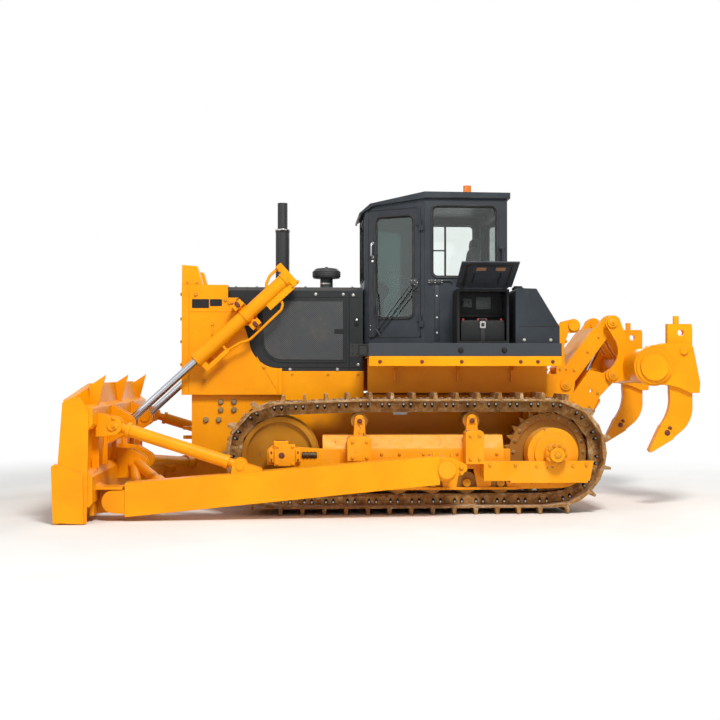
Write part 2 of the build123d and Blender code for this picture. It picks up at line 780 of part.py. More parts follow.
box_x = (671, 1201)
box_y = (cab_half + 25, 1120)
box_z = (deck_z[1] + SEAT, 2262)
lid_hinge = (-box_y[1] - 12, box_z[1] + 14)        # y, z
lid_pin_radius = 7
lid_open = 25                                     # degrees above level
with BuildPart() as battery_box:
    block(box_x, (-box_y[0], -box_y[1]), box_z)
    block(
        (box_x[0] + 25, box_x[1] - 25),
        (-box_y[0] - 25, -box_y[1] - 1),
        (box_z[0] + 25, box_z[1] - 25),
        mode=Mode.SUBTRACT,
    )
    for ear_x in (box_x[0] + 30, box_x[1] - 70):
        block((ear_x, ear_x + 40), (-box_y[1] + 20, lid_hinge[0] - 12), (box_z[1] - 1, lid_hinge[1] + 12))
        with BuildSketch(Plane.YZ.offset(ear_x - 1)) as eye_bore:
            with Locations(lid_hinge):
                Circle(lid_pin_radius + 0.05)
        extrude(eye_bore.sketch, amount=42, mode=Mode.SUBTRACT)
save(battery_box, "battery_box")

with BuildPart() as battery_lid:
    lid_plane = Plane(
        origin=(mid(box_x), *lid_hinge),
        x_dir=(1, 0, 0),
        z_dir=(0, sin(radians(lid_open)), cos(radians(lid_open))),
    )
    with BuildSketch(lid_plane) as lid_outline:
        with Locations((0, -265)):
            Rectangle(box_x[1] - box_x[0] + 40, 490)
    extrude(amount=6, both=True)
    with BuildSketch(Plane.YZ.offset(box_x[0] + 10)) as lid_pin:
        with Locations(lid_hinge):
            Circle(lid_pin_radius)
    extrude(lid_pin.sketch, amount=box_x[1] - box_x[0] - 20)
    with BuildSketch(lid_plane) as lid_tongue:
        with Locations((0, -15)):
            Rectangle(box_x[1] - box_x[0] - 180, 30)
    extrude(lid_tongue.sketch, amount=6, both=True)
save(battery_lid, "battery_lid")

with BuildPart() as hydraulic_tank:
    block((cab_chamfer_x + 130, box_x[1]), (box_y[0], 1150), box_z)
    fillet(hydraulic_tank.edges().filter_by(Axis.Z), 45)
    fillet(hydraulic_tank.faces().sort_by(Axis.Z)[-1].edges(), 25)
    upright(1080, 980, 62, box_z[1] - 1, box_z[1] + 34)
    upright(1080, 980, 48, box_z[1] + 33, box_z[1] + 52)
save(hydraulic_tank, "hydraulic_tank")

tank_x = (1212, 1474, 1711)
tank_edge = 1150
with BuildPart() as fuel_tank:
    side_plate([
        (tank_x[0] + 50, deck_z[1] + SEAT), (tank_x[2], deck_z[1] + SEAT), (tank_x[2], 1878),
        (tank_x[1], 2266), (tank_x[0] + 50, 2272),
    ], -tank_edge, tank_edge)
    fillet(fuel_tank.edges().filter_by(Axis.Y).group_by(Axis.Z)[-1], 40)
    fillet(fuel_tank.edges().filter_by(Axis.Y).group_by(Axis.X)[-1].sort_by(Axis.Z)[-1], 30)
    upright(1370, -700, 55, 2260, 2310)
save(fuel_tank, "fuel_tank")

# ---------------------------------------------------------------- cab
cab_base_z = deck_z[1] + SEAT
side_plan = [
    (cab_front_x, -cab_front_half),
    (cab_chamfer_x, -cab_half),
    (cab_rear_x, -cab_half),
    (cab_rear_x, cab_half),
    (cab_chamfer_x, cab_half),
    (cab_front_x, cab_front_half),
]


def cab_plan(inset, reach=0):
    """The hexagonal plan of the cab, moved in by a wall; reach moves its front edge forward."""
    nose = cab_front_half - reach * (cab_half - cab_front_half) / (cab_chamfer_x - cab_front_x)
    with BuildSketch() as plan:
        with BuildLine():
            Polyline(
                (cab_front_x - reach, -nose), *side_plan[1:-1], (cab_front_x - reach, nose), close=True,
            )
        make_face()
        offset(amount=-inset, kind=Kind.INTERSECTION)
    return plan.sketch


chamfer_run = hypot(cab_chamfer_x - cab_front_x, cab_half - cab_front_half)
chamfer_way = ((cab_chamfer_x - cab_front_x) / chamfer_run, (cab_half - cab_front_half) / chamfer_run)
door_along = (45, chamfer_run - 45)               # along the slanting wall, from its front corner
door_z = (cab_base_z + 70, 3138)
door_gap = 6
door_thick = 40
door_border = 80


def on_chamfer(side, along_range, z_range, depth_range, mode=Mode.ADD, corner=0.5):
    """A block on a slanting front corner wall; depth is measured inwards from its outer face."""
    outward = (-chamfer_way[1], side * chamfer_way[0], 0)
    start = Vector(cab_front_x, side * cab_front_half, 0) - Vector(*outward) * depth_range[0]
    wall = Plane(origin=start, x_dir=(-side * chamfer_way[0], -chamfer_way[1], 0), z_dir=outward)
    with BuildSketch(wall) as face:
        with Locations((-side * mid(along_range), mid(z_range))):
            RectangleRounded(along_range[1] - along_range[0], z_range[1] - z_range[0], corner)
    extrude(face.sketch, amount=depth_range[0] - depth_range[1], mode=mode)


def shrink(value_range, border):
    return (value_range[0] + border, value_range[1] - border)


def wall_pane(y_range, x_range, z_range, corner, mode=Mode.ADD):
    """A pane or an opening with round corners, in a wall across Y."""
    with BuildSketch(Plane.XZ.offset(-max(y_range))) as pane:
        with Locations((mid(x_range), mid(z_range))):
            RectangleRounded(x_range[1] - x_range[0], z_range[1] - z_range[0], corner)
    extrude(pane.sketch, amount=max(y_range) - min(y_range), mode=mode)


def end_pane(x_range, y_range, z_range, corner, mode=Mode.ADD):
    """A pane or an opening with round corners, in a wall across X."""
    with BuildSketch(Plane.YZ.offset(x_range[0])) as pane:
        with Locations((mid(y_range), mid(z_range))):
            RectangleRounded(y_range[1] - y_range[0], z_range[1] - z_range[0], corner)
    extrude(pane.sketch, amount=x_range[1] - x_range[0], mode=mode)


window_corner = 62
knuckle_height = 60
knuckle_radius = 14
knuckle_out = 16                                  # hinge axis outside the wall
knuckle_zs = (1950, 2950)


def hinge_knuckle(side, base_z, way):
    """One knuckle of a door hinge, with its leaf on the frame (way 1) or on the door (way -1)."""
    upright(hinge_place[0], side * hinge_place[1], knuckle_radius, base_z, base_z + knuckle_height)
    leaf = (door_along[1], door_along[1] + way * 40)
    on_chamfer(side, (min(leaf), max(leaf)), (base_z, base_z + knuckle_height), (-knuckle_out - 4, 0.01))


hinge_place = (
    cab_front_x + chamfer_way[0] * door_along[1] - chamfer_way[1] * knuckle_out,
    cab_front_half + chamfer_way[1] * door_along[1] + chamfer_way[0] * knuckle_out,
)
print(f"door hinge {hinge_place[0]:.2f} {hinge_place[1]:.2f}")
side_window = ((451, 1132), (2407, 3150))
rear_window = ((-600, 600), (2330, 3120))
front_window = ((-340, 340), (2420, 3060))
eave_line = ((cab_chamfer_x, cab_top_z), (-140, 3184), (-262, 3112))     # underside of the roof, x and z

with BuildPart() as cab_shell:
    extrude(Plane.XY.offset(cab_base_z) * cab_plan(0.01), amount=cab_top_z - cab_base_z)
    extrude(Plane.XY.offset(cab_base_z + 20) * cab_plan(cab_wall), amount=cab_top_z, mode=Mode.SUBTRACT)
    side_plate(
        [*eave_line, (-400, 3112), (-400, 3400), (cab_chamfer_x, 3400)], -900, 900, mode=Mode.SUBTRACT,
    )
    end_pane((cab_rear_x - 2 * cab_wall, cab_rear_x + 10), *rear_window, window_corner, mode=Mode.SUBTRACT)
    wall_pane((-cab_half - 10, cab_half + 10), *side_window, window_corner, mode=Mode.SUBTRACT)
    end_pane(
        (cab_front_x - 10, cab_front_x + 2 * cab_wall), *front_window, window_corner, mode=Mode.SUBTRACT,
    )
    for _, side in SIDES:
        on_chamfer(side, door_along, door_z, (-5, cab_wall + 5), mode=Mode.SUBTRACT)
        for knuckle_z in knuckle_zs:
            hinge_knuckle(side, knuckle_z - knuckle_height - SEAT, 1)
        # grab rail behind the side window
        rail_y = side * (cab_half + 55)
        bar((cab_rear_x - 55, rail_y, 2440), (cab_rear_x - 55, rail_y, 2700), 15)
        for rail_z in (2440, 2700):
            bar(
                (cab_rear_x - 55, side * (cab_half - 10), rail_z),
                (cab_rear_x - 55, side * (cab_half + 70), rail_z),
                15,
            )

# the shell comes apart at the door posts and above the floor, as its panels do
cab_floor_z = cab_base_z + 20
with BuildPart() as cab_frame:
    add(cab_shell.part)
    block(
        (cab_chamfer_x, cab_rear_x + 100),
        (-cab_half - 100, cab_half + 100),
        (cab_floor_z, 3400),
        mode=Mode.SUBTRACT,
    )
save(cab_frame, "cab_frame")

for side_name, side in SIDES:
    with BuildPart() as cab_side:
        add(cab_shell.part)
        block(
            (cab_chamfer_x + SEAT, cab_rear_x + 1),
            (side * (cab_half - cab_wall), side * (cab_half + 100)),
            (cab_floor_z + SEAT, 3400),
            mode=Mode.INTERSECT,
        )
    save(cab_side, f"cab_side_{side_name}")

with BuildPart() as cab_back:
    add(cab_shell.part)
    back_half = cab_half - cab_wall - SEAT
    block(
        (cab_rear_x - cab_wall, cab_rear_x + 1),
        (-back_half, back_half),
        (cab_floor_z + SEAT, 3400),
        mode=Mode.INTERSECT,
    )
save(cab_back, "cab_back")

pane_depth = (15, 15 + glass_thick)
with BuildPart() as cab_glass:
    for _, side in SIDES:
        outer = side * cab_half
        pane_y = (outer - side * pane_depth[0], outer - side * pane_depth[1])
        wall_pane(pane_y, shrink(side_window[0], SEAT), shrink(side_window[1], SEAT), window_corner - SEAT)
    end_pane(
        (cab_front_x + pane_depth[0], cab_front_x + pane_depth[1]),
        shrink(front_window[0], SEAT), shrink(front_window[1], SEAT), window_corner - SEAT,
    )
    end_pane(
        (cab_rear_x - pane_depth[1], cab_rear_x - pane_depth[0]),
        shrink(rear_window[0], SEAT), shrink(rear_window[1], SEAT), window_corner - SEAT,
    )
save(cab_glass, "cab_glass")

door_window = (shrink(shrink(door_along, door_gap), door_border), (1985, 3060))
for side_name, side in SIDES:
    with BuildPart() as door:
        on_chamfer(side, shrink(door_along, door_gap), shrink(door_z, door_gap), (0, door_thick), corner=20)
        on_chamfer(side, *door_window, (-5, door_thick + 5), mode=Mode.SUBTRACT, corner=window_corner)
        for knuckle_z in knuckle_zs:
            hinge_knuckle(side, knuckle_z, -1)
    save(door, f"door_{side_name}")
    with BuildPart() as door_glass:
        glass_range = (shrink(door_window[0], SEAT), shrink(door_window[1], SEAT))
        on_chamfer(side, *glass_range, pane_depth, corner=window_corner - SEAT)
    save(door_glass, f"door_glass_{side_name}")

roof_crest = (cab_chamfer_x, 3295)                # x and z of the roof's top line
roof_rear = (1300, 3288)
with BuildPart() as cab_roof:
    extrude(Plane.XY.offset(3000) * cab_plan(-28, reach=30), amount=300)
    side_plate([
        (-287, 3090 + SEAT), (-270, 3090 + SEAT), (eave_line[2][0], eave_line[2][1] + 2 * SEAT),
        (eave_line[1][0], eave_line[1][1] + SEAT),
        (cab_chamfer_x, cab_top_z + SEAT), (1300, cab_top_z + SEAT),
        roof_rear, roof_crest, (-173, 3213), (-287, 3119),
    ], -900, 900, mode=Mode.INTERSECT)
save(cab_roof, "cab_roof")

beacon_x = 941
beacon_foot = 56
roof_fall = (roof_crest[1] - roof_rear[1]) / (roof_rear[0] - roof_crest[0])
beacon_z = roof_crest[1] - roof_fall * (beacon_x - beacon_foot - roof_crest[0]) + SEAT
with BuildPart() as beacon:
    upright(beacon_x, 0, beacon_foot, beacon_z, beacon_z + 30)
    upright(beacon_x, 0, beacon_foot - 8, beacon_z + 29, 3489)
save(beacon, "beacon")

with BuildPart() as console:
    side_plate([
        (cab_front_x + 90, cab_floor_z + SEAT),
        (cab_front_x + 240, cab_floor_z + SEAT), (cab_front_x + 210, 2180),
        (cab_front_x + 275, 2290),
        ("via", cab_front_x + 255, 2345), (cab_front_x + 200, 2385), (cab_front_x + 90, 2400),
    ], -300, 300)
    side_plate([
        (cab_front_x + 239, cab_floor_z + SEAT),
        (cab_front_x + 420, cab_floor_z + SEAT), (cab_front_x + 400, 1790),
        (cab_front_x + 239, 1860),
    ], -240, 240)
save(console, "console")

with BuildPart() as seat:
    block((600, 940), (-190, 190), (cab_floor_z + SEAT, 2120))
    block((520, 1010), (-255, 255), (2119, 2250))
    side_plate([(890, 2240), (1010, 2240), (1080, 2880), (1000, 2890)], -240, 240)
    for arm_side in (-1, 1):
        block((620, 960), (arm_side * 265, arm_side * 345), (2400, 2460))
        block((880, 950), (arm_side * 238, arm_side * 300), (2400, 2459))
save(seat, "seat")

# ---------------------------------------------------------------- blade and push arms
def blade_section(y, shift, top_z):
    """Section of the blade's plate at y: a hollow front face, and a back parallel to it."""
    bottom = (blade_front_x - shift, blade_bottom_z)
    top = (blade_top_x - shift, top_z)
    hollow = (mid((bottom[0], top[0])) + blade_hollow, mid((bottom[1], top[1])))
    with BuildSketch(Plane.XZ.offset(-y)) as section:
        with BuildLine():
            ThreePointArc(bottom, hollow, top)
            Line(top, (top[0] + blade_wall, top[1]))
            ThreePointArc(
                (top[0] + blade_wall, top[1]),
                (hollow[0] + blade_wall, hollow[1]),
                (bottom[0] + blade_wall, bottom[1]),
            )
            Line((bottom[0] + blade_wall, bottom[1]), bottom)
        make_face()
    return section.sketch


blade_half = blade_width / 2
strut_y = arm_y - 95
strut_eye_half = 60
strut_front = (-2715, 905)
strut_rear = (-1490, 518)
fork_half = 62                                    # half the gap in the lift cylinder's fork
stiffener_ys = (330, 900, 1380)
brace_y = 260
brace_knuckle = (-2650, 450)
arm_knuckle = (-2690, 190)
end_bit = 20                                      # how far the end bits stand proud
beam_front_x = mid((blade_front_x, blade_top_x)) + blade_hollow + blade_wall / 2   # in the plate's wall
beam_tip_y = blade_half - end_bit - 20

def back_beam(front, rear):
    """Box beam along the blade's back, whose front points follow the wings of the plate forward."""
    tip_shift = wing_reach * (beam_tip_y - wing_y) / (blade_half - end_bit - wing_y)
    spans = ((-wing_y, wing_y, 0), (wing_y, beam_tip_y, tip_shift), (-wing_y, -beam_tip_y, tip_shift))
    for y_from, y_to, shift in spans:
        sections = []
        for y, forward in ((y_from, 0), (y_to, shift)):
            with BuildSketch(Plane.XZ.offset(-y)) as section:
                with BuildLine():
                    Polyline([(x - forward, z) for x, z in front] + rear, close=True)
                make_face()
            sections.append(section.sketch)
        loft(sections)


with BuildPart() as blade:
    extrude(blade_section(wing_y, 0, blade_top_z), amount=2 * wing_y)
    side_plate([
        (blade_front_x - 28, 6), (blade_front_x + 2, 6),
        (blade_front_x + 68, 240), (blade_front_x + 40, 246),
    ], -wing_y, wing_y)
    for _, side in SIDES:
        wing_root = blade_section(side * wing_y, 0, blade_top_z)
        wing_tip = blade_section(side * (blade_half - end_bit), wing_reach, blade_top_z - wing_drop)
        loft([wing_root, wing_tip])
        # end plate, and the end bit on its lower half
        side_plate([
            (-3206, 20), (-2924, 6), (-2900, 10), (-2884, 1049), (-2940, 1150), ("via", -2985, 1188),
            (-3040, 1180), (-3125, 1138),
        ], side * (blade_half - end_bit), side * (blade_half - end_bit - 24))
        side_plate([
            (-3224, 543), (-3206, 20), (-2924, 6), (-2933, 465), (-3185, 568),
        ], side * blade_half, side * (blade_half - end_bit - 1))
    # box beams along the back, with stiffeners between them
    back_beam(
        [(beam_front_x, 880), (beam_front_x, 1090)],
        [(blade_back_x - 50, 1118), (blade_back_x, 1080), (blade_back_x, 930), (-2890, 880)],
    )
    back_beam(
        [(beam_front_x - 15, 500), (beam_front_x - 75, 150)],
        [(blade_back_x - 30, 160), (blade_back_x, 200), (blade_back_x, 440), (-2900, 500)],
    )
    for rib_y in (-1430, 0, 1430):
        side_plate([
            (blade_top_x + 40, blade_top_z - 10), (-2921, 1307),
            (-2793, 1392), (-2869, 1095), (blade_top_x + 40, 1095),
        ], rib_y - 12, rib_y + 12)
    for _, side in SIDES:
        for stiffener_y in stiffener_ys:
            block(
                (beam_front_x, blade_back_x - 12),
                (side * stiffener_y, side * (stiffener_y + 24)),
                (490, 890),
            )
        # fork for the lift cylinder
        for cheek in (-1, 1):
            plate_y = side * lift_y + cheek * fork_half
            side_plate([
                (blade_back_x - 10, 700), (blade_back_x + 40, 720), (lift_eye[0] + 30, 810),
                ("via", lift_eye[0] + 88, 900), (lift_eye[0] + 20, 985), (blade_back_x - 10, 1090),
            ], plate_y, plate_y + cheek * 30)
            cross_round(*lift_eye, 52, plate_y + cheek * 29, plate_y + cheek * 44)
        block(
            (beam_front_x, blade_back_x - 9),
            (side * (lift_y - fork_half - 29), side * (lift_y + fork_half + 29)),
            (690, 890),
        )
        # yoke for the tilt strut
        for cheek in (-1, 1):
            plate_y = side * strut_y + cheek * (strut_eye_half + SEAT)
            side_plate([
                (blade_back_x - 20, 800), (strut_front[0], 815), ("via", strut_front[0] + 90, 905),
                (strut_front[0], 995), (blade_back_x - 20, 1033),
            ], plate_y, plate_y + cheek * 26)
            cross_round(*strut_front, 46, plate_y + cheek * 25, plate_y + cheek * 40)
        # knuckle bracket for the brace of the push arm
        for cheek in (-1, 1):
            plate_y = side * brace_y + cheek * 46
            side_plate([
                (blade_back_x - 20, 295), (-2700, 300),
                (-2570, 380), ("via", -2540, 450), (-2570, 520), (-2700, 600),
                (blade_back_x - 20, 620),
            ], plate_y, plate_y + cheek * 26)
        cross_round(*brace_knuckle, 60.4, side * (brace_y + 45), side * (brace_y + 73), mode=Mode.SUBTRACT)
        block((blade_back_x - 20, -2700), (side * (brace_y - 71), side * (brace_y + 71)), (585, 605))
        # lug that the push arm's head turns in
        side_plate([
            (-2884, 470), ("via", -2850, 360), (-2740, 330), (-2600, 330), (-2600, 304), (-2760, 304),
            (-2870, 304), (-2910, 470),
        ], side * (arm_y - arm_width / 2 - 40), side * (arm_y + arm_width / 2))
        side_plate([
            (blade_back_x - 20, 60), (-2690, 70),
            ("via", -2570, 190), (-2600, 305), (blade_back_x - 20, 306),
        ], side * (arm_y - arm_width / 2 - SEAT), side * (arm_y - arm_width / 2 - 40))
        block(
            (blade_back_x - 60, blade_back_x - 18),
            (side * (arm_y - arm_width / 2 - 40), side * (arm_y + arm_width / 2)),
            (60, 470),
        )
save(blade, "blade")

for side_name, side in SIDES:
    arm_y_range = (side * (arm_y - arm_width / 2), side * (arm_y + arm_width / 2))
    with BuildPart() as push_arm:
        front_x, front_z, front_depth = arm_front
        rear_x, rear_z, rear_depth = arm_rear
        side_plate([
            (front_x, front_z - front_depth / 2), (rear_x, rear_z - rear_depth / 2),
            (rear_x, rear_z + rear_depth / 2), (front_x, front_z + front_depth / 2),
        ], *arm_y_range)
        # cap round the trunnion
        side_plate([
            (rear_x - 1, trunnion_z - 112),
            (trunnion_x + 40, trunnion_z - 105), (trunnion_x + 190, trunnion_z - 20),
            ("via", trunnion_x + 200, trunnion_z + 30), (trunnion_x + 170, trunnion_z + 60),
            (trunnion_x + 60, trunnion_z + 112), (rear_x - 1, trunnion_z + 118),
        ], side * (arm_y - 80), side * (arm_y + 80))
        cross_round(trunnion_x, trunnion_z, 96, *arm_y_range)
        cross_round(
            trunnion_x,
            trunnion_z,
            trunnion_radius + 0.4,
            arm_y_range[0] - side,
            arm_y_range[1] + side,
            mode=Mode.SUBTRACT,
        )
        # head in the blade's lug
        side_plate([
            (front_x + 1, 70), (front_x + 1, 300), (arm_knuckle[0], arm_knuckle[1] + 108),
            ("via", arm_knuckle[0] - 108, arm_knuckle[1]), (arm_knuckle[0], arm_knuckle[1] - 108),
        ], side * (arm_y - arm_width / 2 + 10), side * (arm_y + arm_width / 2 - 10))
        # braces to the knuckle bracket in the middle of the blade
        brace_end = (brace_knuckle[0], side * brace_y, brace_knuckle[1])
        bar(
            (-2233, side * (arm_y - 60), 320),
            (brace_end[0] + 20, side * (brace_y + 104), brace_end[2] - 8),
            56,
        )
        bar((-2233, side * (arm_y - 60), 320), (-2310, side * (arm_y - 260), 345), 72)
        bar(
            (arm_knuckle[0] + 215, side * (arm_y - 70), 240),
            (brace_end[0] - 20, side * (brace_y + 104), brace_end[2] - 40),
            50,
        )
        cross_round(*brace_knuckle, 78, side * (brace_y + 73), side * (brace_y + 114))
        cross_round(*brace_knuckle, 60, side * (brace_y + 73), side * (brace_y + 42))
        for cheek in (-1, 1):
            lug_y = side * arm_y + cheek * (strut_eye_half + SEAT)
            side_plate([
                (strut_rear[0] - 90, 400),
                (strut_rear[0] - 76, strut_rear[1]), ("via", strut_rear[0], strut_rear[1] + 78),
                (strut_rear[0] + 70, strut_rear[1] + 20),
                (strut_rear[0] + 200, 495), (strut_rear[0] + 230, 440),
            ], lug_y, lug_y + cheek * 24)
            cross_round(*strut_rear, 36, lug_y + cheek * 23, lug_y + cheek * 36)
    save(push_arm, f"push_arm_{side_name}")

    with BuildPart() as tilt_strut:
        strut_ends = (
            Vector(strut_front[0], side * strut_y, strut_front[1]),
            Vector(strut_rear[0], side * arm_y, strut_rear[1]),
        )
        strut_line = strut_ends[1] - strut_ends[0]
        bar(strut_ends[0], strut_ends[1], 44)
        for share_a, share_b, radius in ((0.105, 0.135, 74), (0.12, 0.90, 62), (0.88, 0.91, 68)):
            bar(strut_ends[0] + strut_line * share_a, strut_ends[0] + strut_line * share_b, radius)
        cross_round(*strut_front, 70, side * strut_y - strut_eye_half, side * strut_y + strut_eye_half)
        cross_round(*strut_rear, 62, side * arm_y - strut_eye_half, side * arm_y + strut_eye_half)
    save(tilt_strut, f"tilt_strut_{side_name}")

# ---------------------------------------------------------------- lift cylinders
lift_run = hypot(lift_eye[0] - lift_pivot[0], lift_eye[1] - lift_pivot[1])
lift_way = ((lift_eye[0] - lift_pivot[0]) / lift_run, (lift_eye[1] - lift_pivot[1]) / lift_run)


def beside_lift(along, off):
    """X and Z of a point on the lift cylinder: along it from its trunnion, and off to its lower side."""
    return (
        lift_pivot[0] + lift_way[0] * along - lift_way[1] * off,
        lift_pivot[1] + lift_way[1] * along + lift_way[0] * off,
    )


def lift_point(along, off, side, y=lift_y):
    x, z = beside_lift(along, off)
    return (x, side * y, z)


def lift_block(along_range, off_range, side, y_range):
    """A square block laid along the lift cylinder."""
    (a, b), (c, d) = along_range, off_range
    side_plate(
        [beside_lift(a, c), beside_lift(b, c), beside_lift(b, d), beside_lift(a, d)],
        side * y_range[0],
        side * y_range[1],
    )


trunnion_stub = 30
lift_piston = (278, 306)                          # along the cylinder, clear of both ends of its bore
lift_pipe = ((-366, 130), (-350, 175), (-300, 205), (150, 215), (250, 172), (345, 150), (392, 142))
lift_loop = ((-330, -55), (-370, -100), (-450, -138), (-590, -138))
for side_name, side in SIDES:
    with BuildPart() as lift_barrel:
        for start, end, radius in (
            (-545, 700, lift_barrel_radius),
            (-560, -525, 84), (-42, 42, 84), (640, 708, 82), (690, 716, 60),
        ):
            bar(lift_point(start, 0, side), lift_point(end, 0, side), radius)
        bar(lift_point(0, -150, side), lift_point(0, 150, side), trunnion_stub)
        # head with its pipe cover, pipe and bracket
        lift_block((-625, -559), (-160, 118), side, (lift_y - 48, lift_y + 48))
        lift_block((-560, -215), (55, 135), side, (lift_y - 34, lift_y + 34))
        for pipe, radius in ((lift_pipe, 14), (lift_loop, 16)):
            for first, second in zip(pipe, pipe[1:]):
                bar(lift_point(*first, side), lift_point(*second, side), radius)
        lift_block((385, 660), (118, 165), side, (lift_y - 24, lift_y + 24))
        lift_block((640, 700), (40, 165), side, (lift_y - 30, lift_y + 30))
        lift_block((388, 412), (40, 140), side, (lift_y - 16, lift_y + 16))
        bar(lift_point(-500, 0, side), lift_point(640, 0, side), lift_rod_radius + 10, mode=Mode.SUBTRACT)
        bar(lift_point(639, 0, side), lift_point(720, 0, side), lift_rod_radius + SEAT, mode=Mode.SUBTRACT)
    save(lift_barrel, f"lift_barrel_{side_name}")
    # the yoke that holds the barrel's two stubs, and turns in the guard
    with BuildPart() as lift_yoke:
        yoke_y = (lift_boss_y[1] + 2, lift_y - 84 - 7)
        cross_round(*lift_pivot, lift_boss_radius, side * (guard_half - 27), side * (yoke_y[0] + 1))
        strap(beside_lift(0, -130), beside_lift(0, 130), 62, side * yoke_y[0], side * yoke_y[1])
        for end in (-1, 1):
            lift_block((-58, 58), (end * 98, end * 168), side, (yoke_y[1] - 1, lift_y + 72))
            bar(
                lift_point(0, end * 95, side),
                lift_point(0, end * 175, side),
                trunnion_stub + SEAT,
                mode=Mode.SUBTRACT,
            )
    save(lift_yoke, f"lift_yoke_{side_name}")
    with BuildPart() as lift_rod:
        bar(lift_point(lift_piston[0], 0, side), lift_point(lift_run - 50, 0, side), lift_rod_radius)
        bar(lift_point(lift_piston[0], 0, side), lift_point(lift_piston[1], 0, side), lift_rod_radius + 9.7)
        cross_round(*lift_eye, 70, side * lift_y - 45, side * lift_y + 45)
    save(lift_rod, f"lift_rod_{side_name}")

# ---------------------------------------------------------------- ripper
pin_lower = ripper_lower_pin
pin_upper = ripper_upper_pin
beam_lower = (pin_lower[0] + ripper_link[0], pin_lower[1] + ripper_link[1])
beam_upper = (pin_upper[0] + ripper_link[0], pin_upper[1] + ripper_link[1])
ripper_cylinder_pin = (1950, 880)
ripper_cylinder_eye = (2448, 1865)
arm_plate_y = (390, 430)
link_y = (300, 360)
cheek_y = (440, 475)
boss_radius = 56
cylinder_y = 170
link_run = hypot(*ripper_link)
link_way = (ripper_link[0] / link_run, ripper_link[1] / link_run)


def pin_joint(x, z, side, inner_y):
    """A pin from inside a link to its cheek, with a round head outside."""
    cross_round(x, z, ripper_pin_radius, side * inner_y, side * (cheek_y[0] + 1))
    cross_round(x, z, boss_radius, side * (cheek_y[1] - 1), side * (cheek_y[1] + 22))


def link_corner(along, off):
    """X and Z of a point on the upper link: along it from its lower pin, and off to its upper side."""
    return (
        pin_upper[0] + link_way[0] * along - link_way[1] * off,
        pin_upper[1] + link_way[1] * along + link_way[0] * off,
    )


with BuildPart() as ripper_mount:
    for _, side in SIDES:
        side_plate([
            (case_x[1] + SEAT, 610), (1980, 625),
            ("via", 2045, 718), (2025, 830), (2010, 1160), (2030, 1281),
            ("via", 2000, 1370), (1930, 1400), (1915, 1700),
            (1960, 1840), (2016, 1842), ("via", 2091, 1917),
            (2016, 1992), (1880, 1960), (1835, 1860), (case_x[1] + SEAT, 1390),
        ], side * cheek_y[0], side * cheek_y[1])
        cross_round(2016, 1917, boss_radius, side * (cheek_y[1] - 1), side * (cheek_y[1] + 30))
        pin_joint(*pin_lower, side, arm_plate_y[0] - 10)
        pin_joint(*pin_upper, side, link_y[0] - 10)
        for cheek in (-1, 1):
            ear_y = side * cylinder_y + cheek * 52
            strap((1898, 900), ripper_cylinder_pin, 56, ear_y, ear_y + cheek * 25)
        cross_round(*ripper_cylinder_pin, 30, side * cylinder_y - 60, side * cylinder_y + 60)
    block((case_x[1] + SEAT, case_x[1] + 30), (-cheek_y[0] - 1, cheek_y[0] + 1), (850, 1150))
save(ripper_mount, "ripper_mount")

with BuildPart() as ripper_arm:
    for _, side in SIDES:
        side_plate([
            (pin_lower[0] - 92, pin_lower[1] + 20), ("via", pin_lower[0] - 10, pin_lower[1] - 92),
            (pin_lower[0] + 85, pin_lower[1] - 40), (2208, 927),
            (2317, 1161), (beam_lower[0] + 20, beam_lower[1] - 76),
            ("via", beam_lower[0] + 78, beam_lower[1]),
            (beam_lower[0], beam_lower[1] + 78), (2355, 1409), (2202, 1442),
            (1972, 1124),
        ], side * arm_plate_y[0], side * arm_plate_y[1])
        for pin in (pin_lower, beam_lower):
            cross_round(
                *pin,
                ripper_pin_radius + 0.4,
                side * arm_plate_y[0],
                side * arm_plate_y[1],
                mode=Mode.SUBTRACT,
            )
        cross_round(2216, 1215, 16, side * arm_plate_y[0], side * arm_plate_y[1], mode=Mode.SUBTRACT)
    strap((2190, 960), (2290, 1110), 38, -arm_plate_y[0] - 1, arm_plate_y[0] + 1)
save(ripper_arm, "ripper_arm")

with BuildPart() as ripper_links:
    for _, side in SIDES:
        strap(pin_upper, beam_upper, 82, side * link_y[0], side * link_y[1])
        for pin in (pin_upper, beam_upper):
            cross_round(
                *pin, ripper_pin_radius + 0.4, side * link_y[0], side * link_y[1], mode=Mode.SUBTRACT,
            )
    side_plate([
        link_corner(120, 62), link_corner(150, 104), link_corner(700, 104), link_corner(735, 62),
    ], -link_y[1], link_y[1])
save(ripper_links, "ripper_links")

